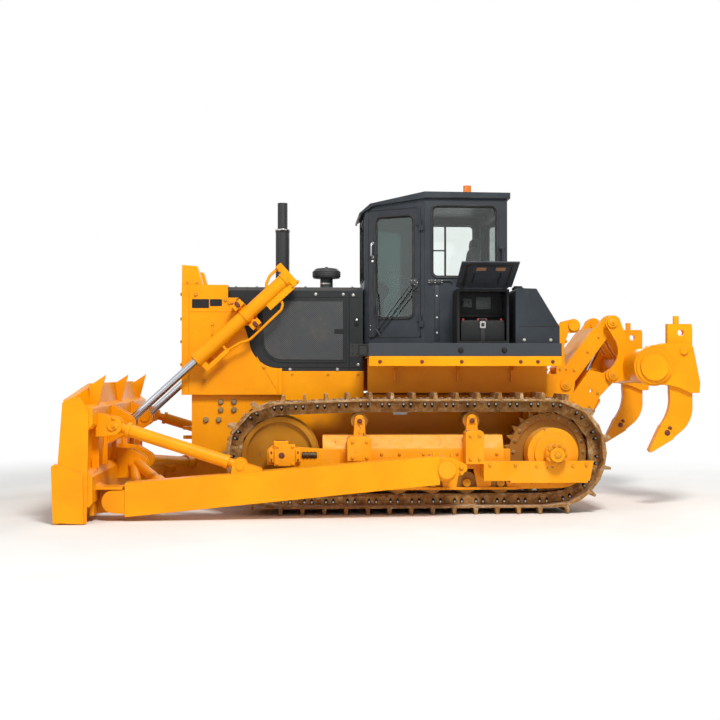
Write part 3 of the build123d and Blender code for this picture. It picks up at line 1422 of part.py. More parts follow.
shank_front_x = beam_centre[0] + beam_radius + 2
shank_back_x = 3164
shank_pin = (3057, 1640)
pocket_wall = 45
pocket_y = shank_y + shank_thick / 2 + SEAT + pocket_wall
with BuildPart() as ripper_beam:
    cross_round(*beam_centre, beam_radius, -beam_half + 25, beam_half - 25)
    cross_round(*beam_centre, beam_radius - 36, -beam_half, beam_half)
    for _, side in SIDES:
        cross_round(*beam_centre, beam_radius + 20, side * (pocket_y - 1), side * (pocket_y + 16))
        # cheeks that the arms and links are pinned to
        side_plate([
            (beam_lower[0] - 66, beam_lower[1] + 40), ("via", beam_lower[0] - 50, beam_lower[1] - 62),
            (beam_lower[0] + 60, beam_lower[1] - 70),
            (beam_centre[0], beam_centre[1] - 150), (beam_centre[0] + 60, beam_centre[1]),
            (beam_centre[0], beam_centre[1] + 178), (2610, 1740),
            (2520, 1990), ("via", beam_upper[0], beam_upper[1] + 76),
            (beam_upper[0] - 74, beam_upper[1] - 20), (2452, 1790), ("via", 2500, 1620),
        ], side * cheek_y[0], side * cheek_y[1])
        pin_joint(*beam_lower, side, arm_plate_y[0] - 10)
        pin_joint(*beam_upper, side, link_y[0] - 10)
        # fork for the ripper cylinder's rod
        for cheek in (-1, 1):
            ear_y = side * cylinder_y + cheek * 52
            side_plate([
                (2690, 1560), (2560, 1560), (2400, 1830), ("via", 2420, 1925), (2510, 1900), (2700, 1670),
            ], ear_y, ear_y + cheek * 25)
            cross_round(*ripper_cylinder_eye, 40, ear_y + cheek * 24, ear_y + cheek * 36)
        # pocket round each shank
        for cheek in (-1, 1):
            wall_y = side * shank_y + cheek * (shank_thick / 2 + SEAT)
            side_plate([
                (2640, 1640), (2700, 1690), (2875, 1723), (3097, 1717), ("via", 3142, 1700), (3163, 1659),
                (3233, 1301), (3222, 1203), (3136, 1203), (3000, 1262), (2900, 1285), (2740, 1290),
            ], wall_y, wall_y + cheek * pocket_wall)
        wall_gap = shank_thick / 2 + SEAT + 1
        side_plate([
            (shank_back_x + SEAT, 1655), (3233, 1301), (3222, 1203), (shank_back_x + SEAT, 1203),
        ], side * (shank_y - wall_gap), side * (shank_y + wall_gap))
        cross_round(*shank_pin, 36, side * (pocket_y + 24), side * (2 * shank_y - pocket_y - 10))
        cross_round(*shank_pin, 46, side * (pocket_y - 1), side * (pocket_y + 12))
save(ripper_beam, "ripper_beam")

shank_y_ranges = [(side * (shank_y - shank_thick / 2), side * (shank_y + shank_thick / 2)) for _, side in SIDES]
point_split = ((2826, 862), (2950, 808))          # where the points fit onto the shanks
with BuildPart() as ripper_shanks:
    for shank_y_range in shank_y_ranges:
        side_plate([
            (shank_front_x - 22, 1922), (3154, 1922), (shank_back_x, 1880), (shank_back_x, 1086),
            ("via", 3140, 930), (3060, 815), (2962, 735), (2740, 610), point_split[0],
            ("via", 2905, 1000), (shank_front_x, 1212), (shank_front_x, 1650), (shank_front_x - 22, 1680),
        ], *shank_y_range)
        block((2976, 3028), (mid(shank_y_range) - 18, mid(shank_y_range) + 18), (1921, 2005))
        cross_round(3043, 1830, 34, *shank_y_range, mode=Mode.SUBTRACT)
        cross_round(*shank_pin, 36.4, *shank_y_range, mode=Mode.SUBTRACT)
save(ripper_shanks, "ripper_shanks")

with BuildPart() as ripper_points:
    for shank_y_range in shank_y_ranges:
        point_y = (min(shank_y_range) - 14, max(shank_y_range) + 14)
        side_plate([
            point_split[0], point_split[1], (2962, 726), (2724, 585), (2706, 611),
        ], *point_y)
        side_plate([
            (shank_back_x, 1086), ("via", 3140, 930), (3060, 815), (2962, 735), (2740, 610), point_split[0],
            ("via", 2905, 1000), (shank_front_x, 1212),
        ], min(shank_y_range) - SEAT, max(shank_y_range) + SEAT, mode=Mode.SUBTRACT)
save(ripper_points, "ripper_points")

cylinder_run = hypot(
    ripper_cylinder_eye[0] - ripper_cylinder_pin[0], ripper_cylinder_eye[1] - ripper_cylinder_pin[1],
)
cylinder_way = (
    (ripper_cylinder_eye[0] - ripper_cylinder_pin[0]) / cylinder_run,
    (ripper_cylinder_eye[1] - ripper_cylinder_pin[1]) / cylinder_run,
)


def along_ripper(distance, y):
    """A point on a ripper cylinder, measured from its lower pin."""
    return (
        ripper_cylinder_pin[0] + cylinder_way[0] * distance,
        y,
        ripper_cylinder_pin[1] + cylinder_way[1] * distance,
    )


with BuildPart() as ripper_barrels:
    for _, side in SIDES:
        y = side * cylinder_y
        for start, end, radius in ((10, 90, 38), (75, 625, 64), (560, 615, 72)):
            bar(along_ripper(start, y), along_ripper(end, y), radius)
        cross_round(*ripper_cylinder_pin, 55, y - 40, y + 40)
        cross_round(*ripper_cylinder_pin, 30.4, y - 41, y + 41, mode=Mode.SUBTRACT)
        bar(along_ripper(95, y), along_ripper(545, y), 46, mode=Mode.SUBTRACT)
        bar(along_ripper(540, y), along_ripper(630, y), 35 + SEAT, mode=Mode.SUBTRACT)
save(ripper_barrels, "ripper_barrels")

with BuildPart() as ripper_rods:
    for _, side in SIDES:
        y = side * cylinder_y
        bar(along_ripper(470, y), along_ripper(cylinder_run - 30, y), 35)
        cross_round(*ripper_cylinder_eye, 54, y - 35, y + 35)
save(ripper_rods, "ripper_rods")
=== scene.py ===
import json
from math import cos, exp, pi, radians, sin

import bmesh
import bpy
from mathutils import Matrix, Vector
from mathutils.bvhtree import BVHTree


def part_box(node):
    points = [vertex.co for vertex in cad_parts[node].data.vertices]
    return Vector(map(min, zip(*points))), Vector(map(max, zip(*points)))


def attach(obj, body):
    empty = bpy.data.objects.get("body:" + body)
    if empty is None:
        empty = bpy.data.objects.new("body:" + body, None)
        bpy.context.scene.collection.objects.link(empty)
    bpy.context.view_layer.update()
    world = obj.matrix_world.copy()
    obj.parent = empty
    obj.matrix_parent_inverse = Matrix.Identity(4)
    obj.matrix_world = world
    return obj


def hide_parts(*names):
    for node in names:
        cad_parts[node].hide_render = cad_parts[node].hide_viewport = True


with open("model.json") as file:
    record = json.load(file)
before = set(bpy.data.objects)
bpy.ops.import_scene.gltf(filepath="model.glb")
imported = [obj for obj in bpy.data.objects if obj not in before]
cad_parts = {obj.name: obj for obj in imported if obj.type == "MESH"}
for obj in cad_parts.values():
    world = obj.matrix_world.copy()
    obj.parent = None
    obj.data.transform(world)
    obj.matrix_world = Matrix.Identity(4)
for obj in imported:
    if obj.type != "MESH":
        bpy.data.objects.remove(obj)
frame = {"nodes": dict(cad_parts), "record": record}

nodes = frame["nodes"]
body_of_node = {name: body for body, names in frame["record"]["behaviour"]["bodies"].items() for name in names}
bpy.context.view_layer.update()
TURN = 2 * pi
UP, DOWN = (0, 0, 1), (0, 0, -1)
FORWARD, REARWARD = (-1, 0, 0), (1, 0, 0)
SIDES = (("left", -1), ("right", 1))
WELD = 0.00002           # CAD corners closer than this are one


# ---------------------------------------------------------------- node helpers
class Tree:
    """A node tree, with short ways to add nodes to it."""

    def __init__(self, tree):
        self.tree = tree

    def feed(self, socket, value):
        """Sets a socket to a number or a colour, or links another node's output to it."""
        if isinstance(value, bpy.types.NodeSocket):
            self.tree.links.new(value, socket)
        else:
            socket.default_value = (*value, 1) if socket.type == "RGBA" else value

    def node(self, kind, inputs=(), **settings):
        made = self.tree.nodes.new(kind)
        for key, value in settings.items():
            setattr(made, key, value)
        for key, value in dict(inputs).items():
            self.feed(made.inputs[key], value)
        return made

    def math(self, kind, first, second=0.0):
        return self.node("ShaderNodeMath", {0: first, 1: second}, operation=kind).outputs["Value"]

    def times(self, first, second):
        return self.math("MULTIPLY", first, second)

    def most(self, first, second):
        return self.math("MAXIMUM", first, second)

    def blend(self, share, first, second, surface):
        """Two shaders mixed by a share, as the surface of an output node."""
        mixed = self.node("ShaderNodeMixShader", {"Fac": share, 1: first, 2: second})
        self.feed(surface, mixed.outputs["Shader"])

    def white_seen(self):
        """1 for the camera's own rays and for those that come by gloss or through glass."""
        ray = self.node("ShaderNodeLightPath").outputs
        return self.most(self.most(ray["Is Camera Ray"], ray["Is Glossy Ray"]), ray["Is Transmission Ray"])


class Shader(Tree):
    """A material under construction, around its Principled shader."""

    def __init__(self, name):
        self.material = bpy.data.materials.new(name)
        self.material.use_nodes = True
        super().__init__(self.material.node_tree)
        self.surface = self.tree.nodes["Material Output"].inputs["Surface"]
        self.principled = self.tree.nodes["Principled BSDF"]
        self.place = self.node("ShaderNodeTexCoord").outputs["Object"]

    def noise(self, scale, detail=4.0, rough=0.55, stretch=None):
        """Noise over the object's own coordinates, in metres."""
        place = self.place
        if stretch:
            place = self.node("ShaderNodeMapping", {"Vector": place, "Scale": stretch}).outputs["Vector"]
        inputs = {"Vector": place, "Scale": scale, "Detail": detail, "Roughness": rough}
        return self.node("ShaderNodeTexNoise", inputs).outputs["Fac"]

    def band(self, value, low, high, to_low=0.0, to_high=1.0):
        """value from low to high becomes to_low to to_high, with soft ends."""
        inputs = {"Value": value, "From Min": low, "From Max": high, "To Min": to_low, "To Max": to_high}
        return self.node("ShaderNodeMapRange", inputs, interpolation_type="SMOOTHSTEP").outputs["Result"]

    def patches(self, noise, low, high, to_low=0.0, to_high=1.0):
        """Noise (scale, detail and roughness) sharpened to patches."""
        return self.band(self.noise(*noise), low, high, to_low, to_high)

    def mix(self, first, second, share):
        """Colours mixed by a share; a colour is three numbers or a socket."""
        return self.node("ShaderNodeMix", {"Factor": share, 6: first, 7: second}, data_type="RGBA").outputs[2]

    def axis(self, letter, vector=None):
        return self.node("ShaderNodeSeparateXYZ", {"Vector": vector or self.place}).outputs[letter]

    def wave(self, letter, length):
        """A sine along an axis of the object, from -1 to 1, with the wave's length in metres."""
        return self.math("SINE", self.times(self.axis(letter), TURN / length))

    def upward(self, low, high):
        """How far the surface faces up."""
        return self.band(self.axis("Z", self.node("ShaderNodeNewGeometry").outputs["Normal"]), low, high)

    def rounded(self, radius):
        """The surface's normal with its edges rounded off."""
        return self.node("ShaderNodeBevel", {"Radius": radius}, samples=4).outputs["Normal"]

    def edges(self, radius):
        """Where the surface is close to an edge, from its rounded normal."""
        flat = self.node("ShaderNodeNewGeometry").outputs["True Normal"]
        bend = self.node("ShaderNodeVectorMath", {0: self.rounded(radius), 1: flat}, operation="DOT_PRODUCT")
        return self.band(bend.outputs["Value"], 0.98, 0.80)

    def bump(self, height, strength, distance=0.002, soften=0.0):
        inputs = {"Height": height, "Strength": strength, "Distance": distance}
        if soften:
            inputs["Normal"] = self.rounded(soften)
        self.feed(self.principled.inputs["Normal"], self.node("ShaderNodeBump", inputs).outputs["Normal"])

    def finish(self, colour, rough, **fixed):
        """Feeds the Principled shader; an underscore in a name stands for a space."""
        for key, value in {"Base_Color": colour, "Roughness": rough, **fixed}.items():
            self.feed(self.principled.inputs[key.replace("_", " ")], value)
        return self.material


# ---------------------------------------------------------------- colours and materials
YELLOW = (0.93, 0.362, 0.001)
YELLOW_SHADE = (0.84, 0.305, 0.001)
CHARCOAL = (0.022, 0.027, 0.034)
CHARCOAL_PALE = (0.034, 0.041, 0.050)
DUST = (0.36, 0.27, 0.17)
DUST_FILM = (0.66, 0.47, 0.22)
MUD = (0.150, 0.100, 0.060)
RUST = (0.240, 0.110, 0.045)
TRACK_BROWN = (0.200, 0.090, 0.022)
TRACK_RUST = (0.430, 0.215, 0.055)
TRACK_WORN = (0.52, 0.38, 0.22)
EARTH = (0.240, 0.160, 0.090)
EARTH_DRY = (0.620, 0.480, 0.320)
CLOUDS = (1.7, 5, 0.6)   # noise of the paint's broad clouds: scale, detail and roughness
SMEARS = (14, 6, 0.6)    # noise of what dulls its gloss


def scaled(colour, factor, lift=0.0):
    return tuple(min(1, part * factor + lift) for part in colour)


def paint(name, colour, shade, rough=0.34, dust=0.14, soften=0.006):
    """Sprayed paint with cloudy colour, thin dust on what faces up, and edges that catch the light."""
    s = Shader(name)
    base = s.mix(shade, colour, s.patches(CLOUDS, 0.35, 0.70))
    cover = s.patches((2.6, 3, 0.5), 0.30, 0.72, dust * 0.35, dust)
    grain = s.patches((60, 5, 0.6), 0.30, 0.70, 0.7, 1.0)
    base = s.mix(base, DUST, s.times(s.upward(0.5, 1.0), s.times(cover, grain)))
    runs = (5, 4, 0.6, (3.0, 3.0, 0.25))
    base = s.mix(base, DUST, s.patches(runs, 0.58, 0.85, 0.0, dust * 0.25))
    gloss = s.patches(SMEARS, 0.3, 0.8, rough - 0.06, rough + 0.14)
    s.bump(s.noise(160, 3, 0.5), 0.05, 0.0006, soften)
    return s.finish(base, gloss, Specular_IOR_Level=0.2)


def muddy_paint(name, colour, shade, dark_inside=None):
    """Paint with a film of dust, and clods of dried mud lying on what faces up."""
    s = Shader(name)
    base = s.mix(shade, colour, s.patches(CLOUDS, 0.35, 0.70))
    if dark_inside:
        inside = s.band(s.math("ABSOLUTE", s.axis("Y")), *dark_inside, 1.0, 0.0)
        base = s.mix(base, TRACK_BROWN, s.times(inside, 0.8))
    film = s.math("ADD", s.patches((3.5, 5, 0.6), 0.35, 0.75, 0.0, 0.07), s.times(s.upward(0.3, 0.9), 0.22))
    base = s.mix(base, DUST_FILM, film)
    speck = s.patches((42, 9, 0.72), 0.640, 0.665)
    clod = s.patches((9, 9, 0.74), 0.625, 0.650)
    lying = s.times(s.upward(0.4, 0.8), s.patches((17, 9, 0.74), 0.565, 0.600))
    mud = s.most(s.times(speck, 0.75), s.most(clod, lying))
    base = s.mix(base, s.mix(MUD, EARTH, s.patches((24, 6, 0.6), 0.35, 0.65)), mud)
    gloss = s.most(s.patches(SMEARS, 0.3, 0.8, 0.34, 0.54), s.times(mud, 0.92))
    s.bump(s.math("ADD", mud, s.times(s.noise(70, 6, 0.6), 0.15)), 0.5, 0.004, 0.005)
    return s.finish(base, gloss, Specular_IOR_Level=0.2)


def track_metal(name, earthy=0.75):
    """Forged track steel: brown rust, dry earth trodden in, and paler worn edges."""
    s = Shader(name)
    rusty = s.mix(TRACK_BROWN, TRACK_RUST, s.patches((7, 9, 0.68), 0.34, 0.64))
    lying = s.times(s.upward(0.3, 0.9), s.patches((11, 8, 0.7), 0.26, 0.42))
    cover = s.most(s.patches((14, 10, 0.72), 0.48, 0.62, 0.0, earthy), lying)
    base = s.mix(rusty, s.mix(EARTH, EARTH_DRY, s.patches((30, 6, 0.6), 0.32, 0.60)), cover)
    worn = s.times(s.edges(0.010), s.patches((20, 6, 0.6), 0.38, 0.58))
    base = s.mix(base, TRACK_WORN, s.times(worn, 0.85))
    s.bump(s.math("ADD", s.noise(45, 9, 0.7), cover), 0.7, 0.006, 0.006)
    gloss = s.patches((12, 6, 0.6), 0.3, 0.7, 0.62, 0.92)
    return s.finish(base, gloss, Metallic=0.1, Specular_IOR_Level=0.25)


def bare_metal(name, colour, rough, metallic=1.0, spotting=0.2):
    s = Shader(name)
    base = s.mix(colour, RUST, s.patches((26, 8, 0.7), 0.56, 0.76, 0.0, spotting))
    fine = s.noise(90, 6, 0.6)
    s.bump(fine, 0.06, 0.0005, 0.003)
    return s.finish(base, s.band(fine, 0.3, 0.7, rough * 0.75, rough * 1.3), Metallic=metallic)


def glass(name, tint):
    """Tinted safety glass: thin, see-through, with a faint film of dust."""
    s = Shader(name)
    film = s.patches((3.0, 6, 0.6), 0.35, 0.8, 0.0, 0.10)
    clear = s.node("ShaderNodeBsdfTransparent", {"Color": s.mix(tint, (0.80, 0.80, 0.76), film)})
    shine = s.node("ShaderNodeBsdfGlossy", {"Color": (0.9, 0.95, 0.93), "Roughness": 0.03})
    fresnel = s.node("ShaderNodeFresnel", {"IOR": 1.5})
    s.blend(fresnel.outputs["Fac"], clear.outputs["BSDF"], shine.outputs["BSDF"], s.surface)
    s.feed(s.principled.inputs["Base Color"], tint)
    s.feed(s.principled.inputs["Alpha"], 0.55)
    return s.material


def rubber(name, colour, rough, grain=220, bump=0.25):
    s = Shader(name)
    base = s.mix(colour, scaled(colour, 1.8, 0.01), s.patches((5, 6, 0.6), 0.35, 0.7))
    s.bump(s.noise(grain, 4, 0.6), bump, 0.001, 0.002)
    gloss = s.patches((30, 5, 0.6), 0.3, 0.7, rough - 0.08, rough + 0.1)
    return s.finish(base, gloss, Specular_IOR_Level=0.4)


def weave(name, colour):
    """Woven seat cloth: two crossed wave patterns, with a soft sheen."""
    s = Shader(name)
    threads = {"Scale": 160, "Distortion": 0.4, "Vector": s.place}
    warp, weft = [s.node("ShaderNodeTexWave", threads, bands_direction=way).outputs["Fac"] for way in "XY"]
    cloth = s.times(warp, weft)
    base = s.mix(scaled(colour, 0.6), scaled(colour, 1.6), cloth)
    base = s.mix(base, DUST, s.patches((6, 6, 0.6), 0.45, 0.8, 0.0, 0.15))
    s.bump(cloth, 0.4, 0.0015)
    return s.finish(base, s.band(cloth, 0, 1, 0.95, 0.80), Sheen_Weight=0.3)


def perforated(name):
    """Black sheet punched with rows of small holes, seen as a fine grid."""
    s = Shader(name)
    holes = s.band(s.times(s.wave("X", 0.022), s.wave("Z", 0.022)), 0.10, 0.40)
    base = s.mix((0.044, 0.050, 0.056), (0.006, 0.006, 0.007), holes)
    base = s.mix(base, DUST, s.patches((4, 8, 0.7), 0.45, 0.85, 0.0, 0.14))
    s.bump(s.math("SUBTRACT", 1.0, holes), 0.5, 0.002)
    return s.finish(base, s.patches(SMEARS, 0.3, 0.8, 0.45, 0.65))


def core(name):
    """Radiator core: thin upright tubes with fins between them."""
    s = Shader(name)
    fins, tubes = s.band(s.wave("Z", 0.006), -0.6, 0.9), s.band(s.wave("Y", 0.022), -0.5, 0.3, 1.0, 0.35)
    grid = s.times(fins, tubes)
    base = s.mix((0.012, 0.012, 0.013), (0.10, 0.10, 0.10), grid)
    base = s.mix(base, DUST, s.patches((7, 8, 0.7), 0.45, 0.8, 0.0, 0.35))
    s.bump(grid, 0.6, 0.003)
    return s.finish(base, s.patches((9,), 0.3, 0.7, 0.55, 0.75), Metallic=0.4)


def tread_plate(name):
    """Dark deck paint over raised tread marks; what stands before the steps is black."""
    s = Shader(name)
    bars = []
    for angle in (0.79, -0.79):
        turned = s.node("ShaderNodeMapping", {"Rotation": (0, 0, angle), "Vector": s.place}).outputs["Vector"]
        wave = s.node("ShaderNodeTexWave", {"Scale": 11, "Vector": turned})
        bars.append(s.band(wave.outputs["Fac"], 0.72, 0.85))
    marks = s.times(s.times(*bars), s.upward(0.7, 0.95))
    step_front = s.band(s.axis("X"), -0.2305, -0.2295, 1.0, 0.0)
    base = s.mix(CHARCOAL, (0.006, 0.006, 0.006), step_front)
    base = s.mix(base, (0.10, 0.10, 0.10), s.times(marks, 0.7))
    base = s.mix(base, DUST, s.times(s.upward(0.6, 1.0), s.patches((3, 5, 0.6), 0.35, 0.70, 0.12, 0.38)))
    base = s.mix(base, EARTH, s.times(s.upward(0.6, 1.0), s.patches((16, 9, 0.72), 0.62, 0.66, 0.0, 0.8)))
    s.bump(s.math("ADD", marks, s.noise(60, 5)), 0.4, 0.004, 0.005)
    return s.finish(base, s.patches((12, 6), 0.3, 0.8, 0.40, 0.62))


def lens_material(name, colour, rough=0.12):
    """A clear cover with fine ribs across it."""
    s = Shader(name)
    ribs = s.wave("Z", 0.012)
    base = s.mix(scaled(colour, 0.7), colour, s.band(ribs, -1, 1))
    s.bump(ribs, 0.3, 0.001)
    gloss = s.patches((20,), 0.3, 0.7, rough * 0.7, rough * 1.5)
    return s.finish(base, gloss, Transmission_Weight=0.25, Coat_Weight=0.5)


looks = {
    "yellow": paint("yellow_paint", YELLOW, YELLOW_SHADE),
    "muddy": muddy_paint("muddy_yellow", YELLOW, YELLOW_SHADE),
    "drive": muddy_paint("final_drive_paint", YELLOW, YELLOW_SHADE, dark_inside=(1.055, 1.075)),
    # the idler's yellow darkened by about half to a brown-yellow: painted shade, as the idler stands in shade; the
    # dust and mud over it are dirt
    "idler": muddy_paint("idler_paint", (0.46, 0.19, 0.003), (0.34, 0.13, 0.003)),
    "roller": muddy_paint("muddy_roller", (0.55, 0.24, 0.02), (0.25, 0.11, 0.02)),
    "charcoal": paint("charcoal_paint", CHARCOAL_PALE, CHARCOAL, 0.42, 0.22),
    "panel": paint("panel_paint", (0.024, 0.027, 0.029), (0.017, 0.019, 0.021), 0.45, 0.22),
    "black": paint("black_paint", (0.018, 0.019, 0.021), (0.012, 0.013, 0.014), 0.5, 0.4),
    "brown_plate": paint("bare_brown_plate", (0.30, 0.17, 0.10), (0.20, 0.11, 0.06), 0.5, 0.2),
    "bolt": paint("bolt_paint", (0.86, 0.36, 0.006), (0.62, 0.26, 0.012), 0.42, 0.35, 0.002),
    "frame_bolt": paint("frame_bolt", (0.40, 0.27, 0.10), (0.22, 0.16, 0.08), 0.5, 0.4, 0.002),
    # near-black paint for the links' windows: painted shade, standing in for the shade inside the holes
    "link_hole_shade": paint("painted_notch_shade", (0.014, 0.012, 0.010), (0.008, 0.007, 0.006), 0.85, 0.1),
    "deck": tread_plate("deck_plate"),
    "track": track_metal("track_metal"),
    "link": track_metal("link_metal", 0.35),
    "chrome": bare_metal("chrome", (0.46, 0.48, 0.52), 0.16, spotting=0.05),
    "steel": bare_metal("bolt_steel", (0.50, 0.49, 0.47), 0.35, spotting=0.35),
    "worn_edge": bare_metal("worn_edge", (0.36, 0.34, 0.31), 0.42, 0.9, 0.4),
    "engine": bare_metal("engine_casting", (0.10, 0.11, 0.11), 0.6, 0.4, 0.3),
    "greasy": bare_metal("greasy_steel", (0.060, 0.034, 0.012), 0.35, 0.3, 0.3),
    "pin_rust": bare_metal("rusty_pin", (0.16, 0.045, 0.025), 0.55, 0.5, 0.5),
    "exhaust": bare_metal("exhaust_black", (0.022, 0.023, 0.025), 0.5, 0.3, 0.15),
    "pale_plate": bare_metal("pale_plate", (0.55, 0.56, 0.56), 0.4, 0.6, 0.3),
    "glass": glass("window_glass", (0.965, 0.985, 0.978)),
    "door_glass": glass("door_glass", (0.34, 0.44, 0.43)),
    "rubber": rubber("seal_rubber", (0.012, 0.012, 0.013), 0.6),
    "plastic": rubber("grained_plastic", (0.020, 0.021, 0.023), 0.5, 320, 0.35),
    "red_cap": rubber("red_cap", (0.30, 0.02, 0.02), 0.45),
    "cloth": weave("seat_cloth", (0.040, 0.042, 0.046)),
    "perforated": perforated("perforated_sheet"),
    "core": core("radiator_core"),
    "amber": lens_material("amber_lens", (1.0, 0.26, 0.01)),
    "dark_lens": lens_material("dark_lens", (0.22, 0.07, 0.07)),
    "lamp_glass": lens_material("lamp_glass", (0.75, 0.78, 0.80)),
}

# a name that ends in _* stands for the left one and the right one
node_looks = {
    "yellow": (
        "main_frame", "rear_case", "radiator_guard", "front_lamps", "fenders", "blade", "push_arm_*",
        "tilt_strut_*", "lift_barrel_*", "lift_yoke_*", "ripper_mount", "ripper_arm", "ripper_links",
        "ripper_beam", "ripper_shanks", "ripper_points", "ripper_barrels",
    ),
    "muddy": ("track_frame_*",),
    "drive": ("final_drive_*",),
    "idler": ("idler_*",),
    "roller": ("rollers_*",),
    "track": ("track_*",),
    "charcoal": (
        "hood", "hydraulic_tank", "fuel_tank", "cab_frame", "cab_side_*", "cab_back", "cab_roof", "door_*",
        "battery_lid",
    ),
    "panel": ("side_panel_*",),
    "black": ("battery_box",),
    "deck": ("platform",),
    "exhaust": ("exhaust_stack",),
    "plastic": ("air_cleaner", "console"),
    "glass": ("cab_glass",),
    "door_glass": ("door_glass_*",),
    "chrome": ("lift_rod_*", "ripper_rods"),
    "engine": ("engine",),
    "core": ("radiator",),
    "amber": ("beacon",),
    "cloth": ("seat",),
}
for look, names in node_looks.items():
    for name in names:
        for side_name, _ in SIDES if "*" in name else SIDES[:1]:
            mesh = nodes[name.replace("*", side_name)].data
            mesh.materials.clear()
            mesh.materials.append(looks[look])

# smooth curved faces: shared corners first, then hard edges kept apart
for node in nodes.values():
    weld = node.modifiers.new("weld", "WELD")
    weld.merge_threshold = WELD
    split = node.modifiers.new("hard_edges", "EDGE_SPLIT")
    split.split_angle = radians(32)
    for polygon in node.data.polygons:
        polygon.use_smooth = True


# ---------------------------------------------------------------- mesh helpers
SLOT_OF_LOOK = {
    "track": "track_steel", "link": "track_steel", "link_hole_shade": "track_steel", "engine": "steel", "worn_edge": "steel",
    "pale_plate": "steel", "rubber": "black_plastic", "plastic": "black_plastic", "red_cap": "black_plastic",
    "dark_lens": "amber_lens", "lamp_glass": "window_glass", "cloth": "seat_cover",
    **dict.fromkeys(("bolt", "yellow", "frame_bolt", "pin_rust", "greasy"), "body_yellow"),
    **dict.fromkeys(("steel", "black", "panel", "perforated", "charcoal", "brown_plate"), "charcoal"),
}


class Piece:
    """A mesh of many small solids; the end of its with block makes it a named object that rides on a body."""

    def __init__(self, name, look, body="chassis", slot=None, smooth=35):
        self.bm = bmesh.new()
        self.name, self.look, self.body, self.smooth = name, look, body, smooth
        self.slot = slot or SLOT_OF_LOOK[look]

    def __enter__(self):
        return self

    def __exit__(self, failure, *_):
        if failure:
            return
        bmesh.ops.recalc_face_normals(self.bm, faces=self.bm.faces)
        mesh = bpy.data.meshes.new(self.name)
        self.bm.to_mesh(mesh)
        self.bm.free()
        mesh.materials.append(looks[self.look])
        for polygon in mesh.polygons:
            polygon.use_smooth = True
        mesh.set_sharp_from_angle(angle=radians(self.smooth))
        made = bpy.data.objects.new(self.name, mesh)
        bpy.context.scene.collection.objects.link(made)
        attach(made, self.body)
        self.made = made

    def corners(self, points):
        return [self.bm.verts.new(point) for point in points]

    def join(self, low, high, shift=0):
        """Faces between two rings of as many corners; shift turns the second one."""
        count = len(low)
        for step in range(count):
            after = (step + 1) % count
            far, near = high[(after + shift) % count], high[(step + shift) % count]
            self.bm.faces.new([low[step], low[after], far, near])

    def skin(self, rings, ends=True):
        """A solid over rings of corners, one after another."""
        for low, high in zip(rings, rings[1:]):
            self.join(low, high)
        if ends:
            self.bm.faces.new(rings[0][::-1])
            self.bm.faces.new(rings[-1])

    def lathe(self, centre, axis, profile, count=20):
        """A turned solid: profile is (distance along the axis, radius) from end to end."""
        axis, centre = Vector(axis).normalized(), Vector(centre)
        across = axis.orthogonal().normalized()
        self.skin([
            self.corners(ring(centre + axis * along, across, axis.cross(across), radius, count))
            for along, radius in profile
        ])

    def bolt(self, centre, axis, size, height=None, washer=True):
        """A hexagon head on a washer; size is across the corners."""
        height = height or size * 0.45
        radius = size / 2
        rise = size * 0.10 if washer else 0.0
        if washer:
            self.lathe(centre, axis, [(-0.001, radius * 1.25), (rise, radius * 1.25)], 16)
        head = [(rise, radius), (rise + height * 0.82, radius), (rise + height, radius * 0.84)]
        self.lathe(centre, axis, head, 6)

    def tube(self, path, radius, count=10, closed=False):
        """A round tube along a list of points."""
        points = [Vector(point) for point in path]
        last = len(points) - 1
        rings, across = [], None
        for index, point in enumerate(points):
            before = points[index - 1] if closed or index else point
            after = points[(index + 1) % (last + 1)] if closed or index < last else point
            way = (after - before).normalized()
            if across is None:
                across = way.orthogonal().normalized()
            across = (across - way * across.dot(way)).normalized()
            rings.append(self.corners(ring(point, across, way.cross(across), radius, count)))
        self.skin(rings, ends=not closed)
        if closed:
            low, high = rings[-1], rings[0]
            self.join(low, high, min(range(count), key=lambda turn: (low[0].co - high[turn].co).length))

    def slab(self, low, high, bevel, turn=None):
        """A box between two corners, with its edges rounded off; turn is a rotation about its middle."""
        low, high = Vector(low), Vector(high)
        size = [max(abs(value), 1e-4) for value in (high - low)]
        matrix = Matrix.Translation((low + high) / 2)
        if turn is not None:
            matrix = matrix @ turn.to_4x4()
        made = bmesh.ops.create_cube(self.bm, size=1.0)["verts"]
        bmesh.ops.transform(self.bm, matrix=matrix @ Matrix.Diagonal((*size, 1)), verts=made)
        edges = list({edge for vertex in made for edge in vertex.link_edges})
        bmesh.ops.bevel(self.bm, geom=edges, offset=bevel, segments=2, affect="EDGES", profile=0.5)

    def prism(self, outline, place, depth):
        """A flat outline of (u, v) made solid: place maps u, v and depth to a point."""
        self.skin([self.corners(place(u, v, level) for u, v in outline) for level in (0, depth)])

    def border(self, outer, inner, place, depth):
        """A flat plate with a hole: two outlines of as many points, and place as in prism."""
        rows = ((outer, 0), (outer, depth), (inner, depth), (inner, 0))
        rings = [self.corners(place(u, v, level) for u, v in outline) for outline, level in rows]
        self.skin(rings + rings[:1], ends=False)

    def seated(self, node, start, way, size, washer=True, height=None):
        """A bolt on a CAD node, where a line from start meets it."""
        self.bolt(touch(node, start, way), -Vector(way), size, height, washer)


def ring(centre, across, third, radius, count):
    """Points evenly round a circle that lies in the plane of two directions."""
    angles = [TURN * step / count for step in range(count)]
    return [centre + (across * cos(angle) + third * sin(angle)) * radius for angle in angles]


def circle(middle, radius, count=32):
    """The same in a plane's own u and v."""
    return [point.to_tuple() for point in ring(Vector(middle), Vector((1, 0)), Vector((0, 1)), radius, count)]


def round_box(middle, half, corner, steps=4):
    """Points round a rectangle with round corners, starting at its right edge."""
    points = []
    for number, (sign_u, sign_v) in enumerate(((1, 1), (-1, 1), (-1, -1), (1, -1))):
        for step in range(steps):
            angle = pi / 2 * (number + step / (steps - 1))
            points.append((
                middle[0] + sign_u * (half[0] - corner) + corner * cos(angle),
                middle[1] + sign_v * (half[1] - corner) + corner * sin(angle),
            ))
    return points


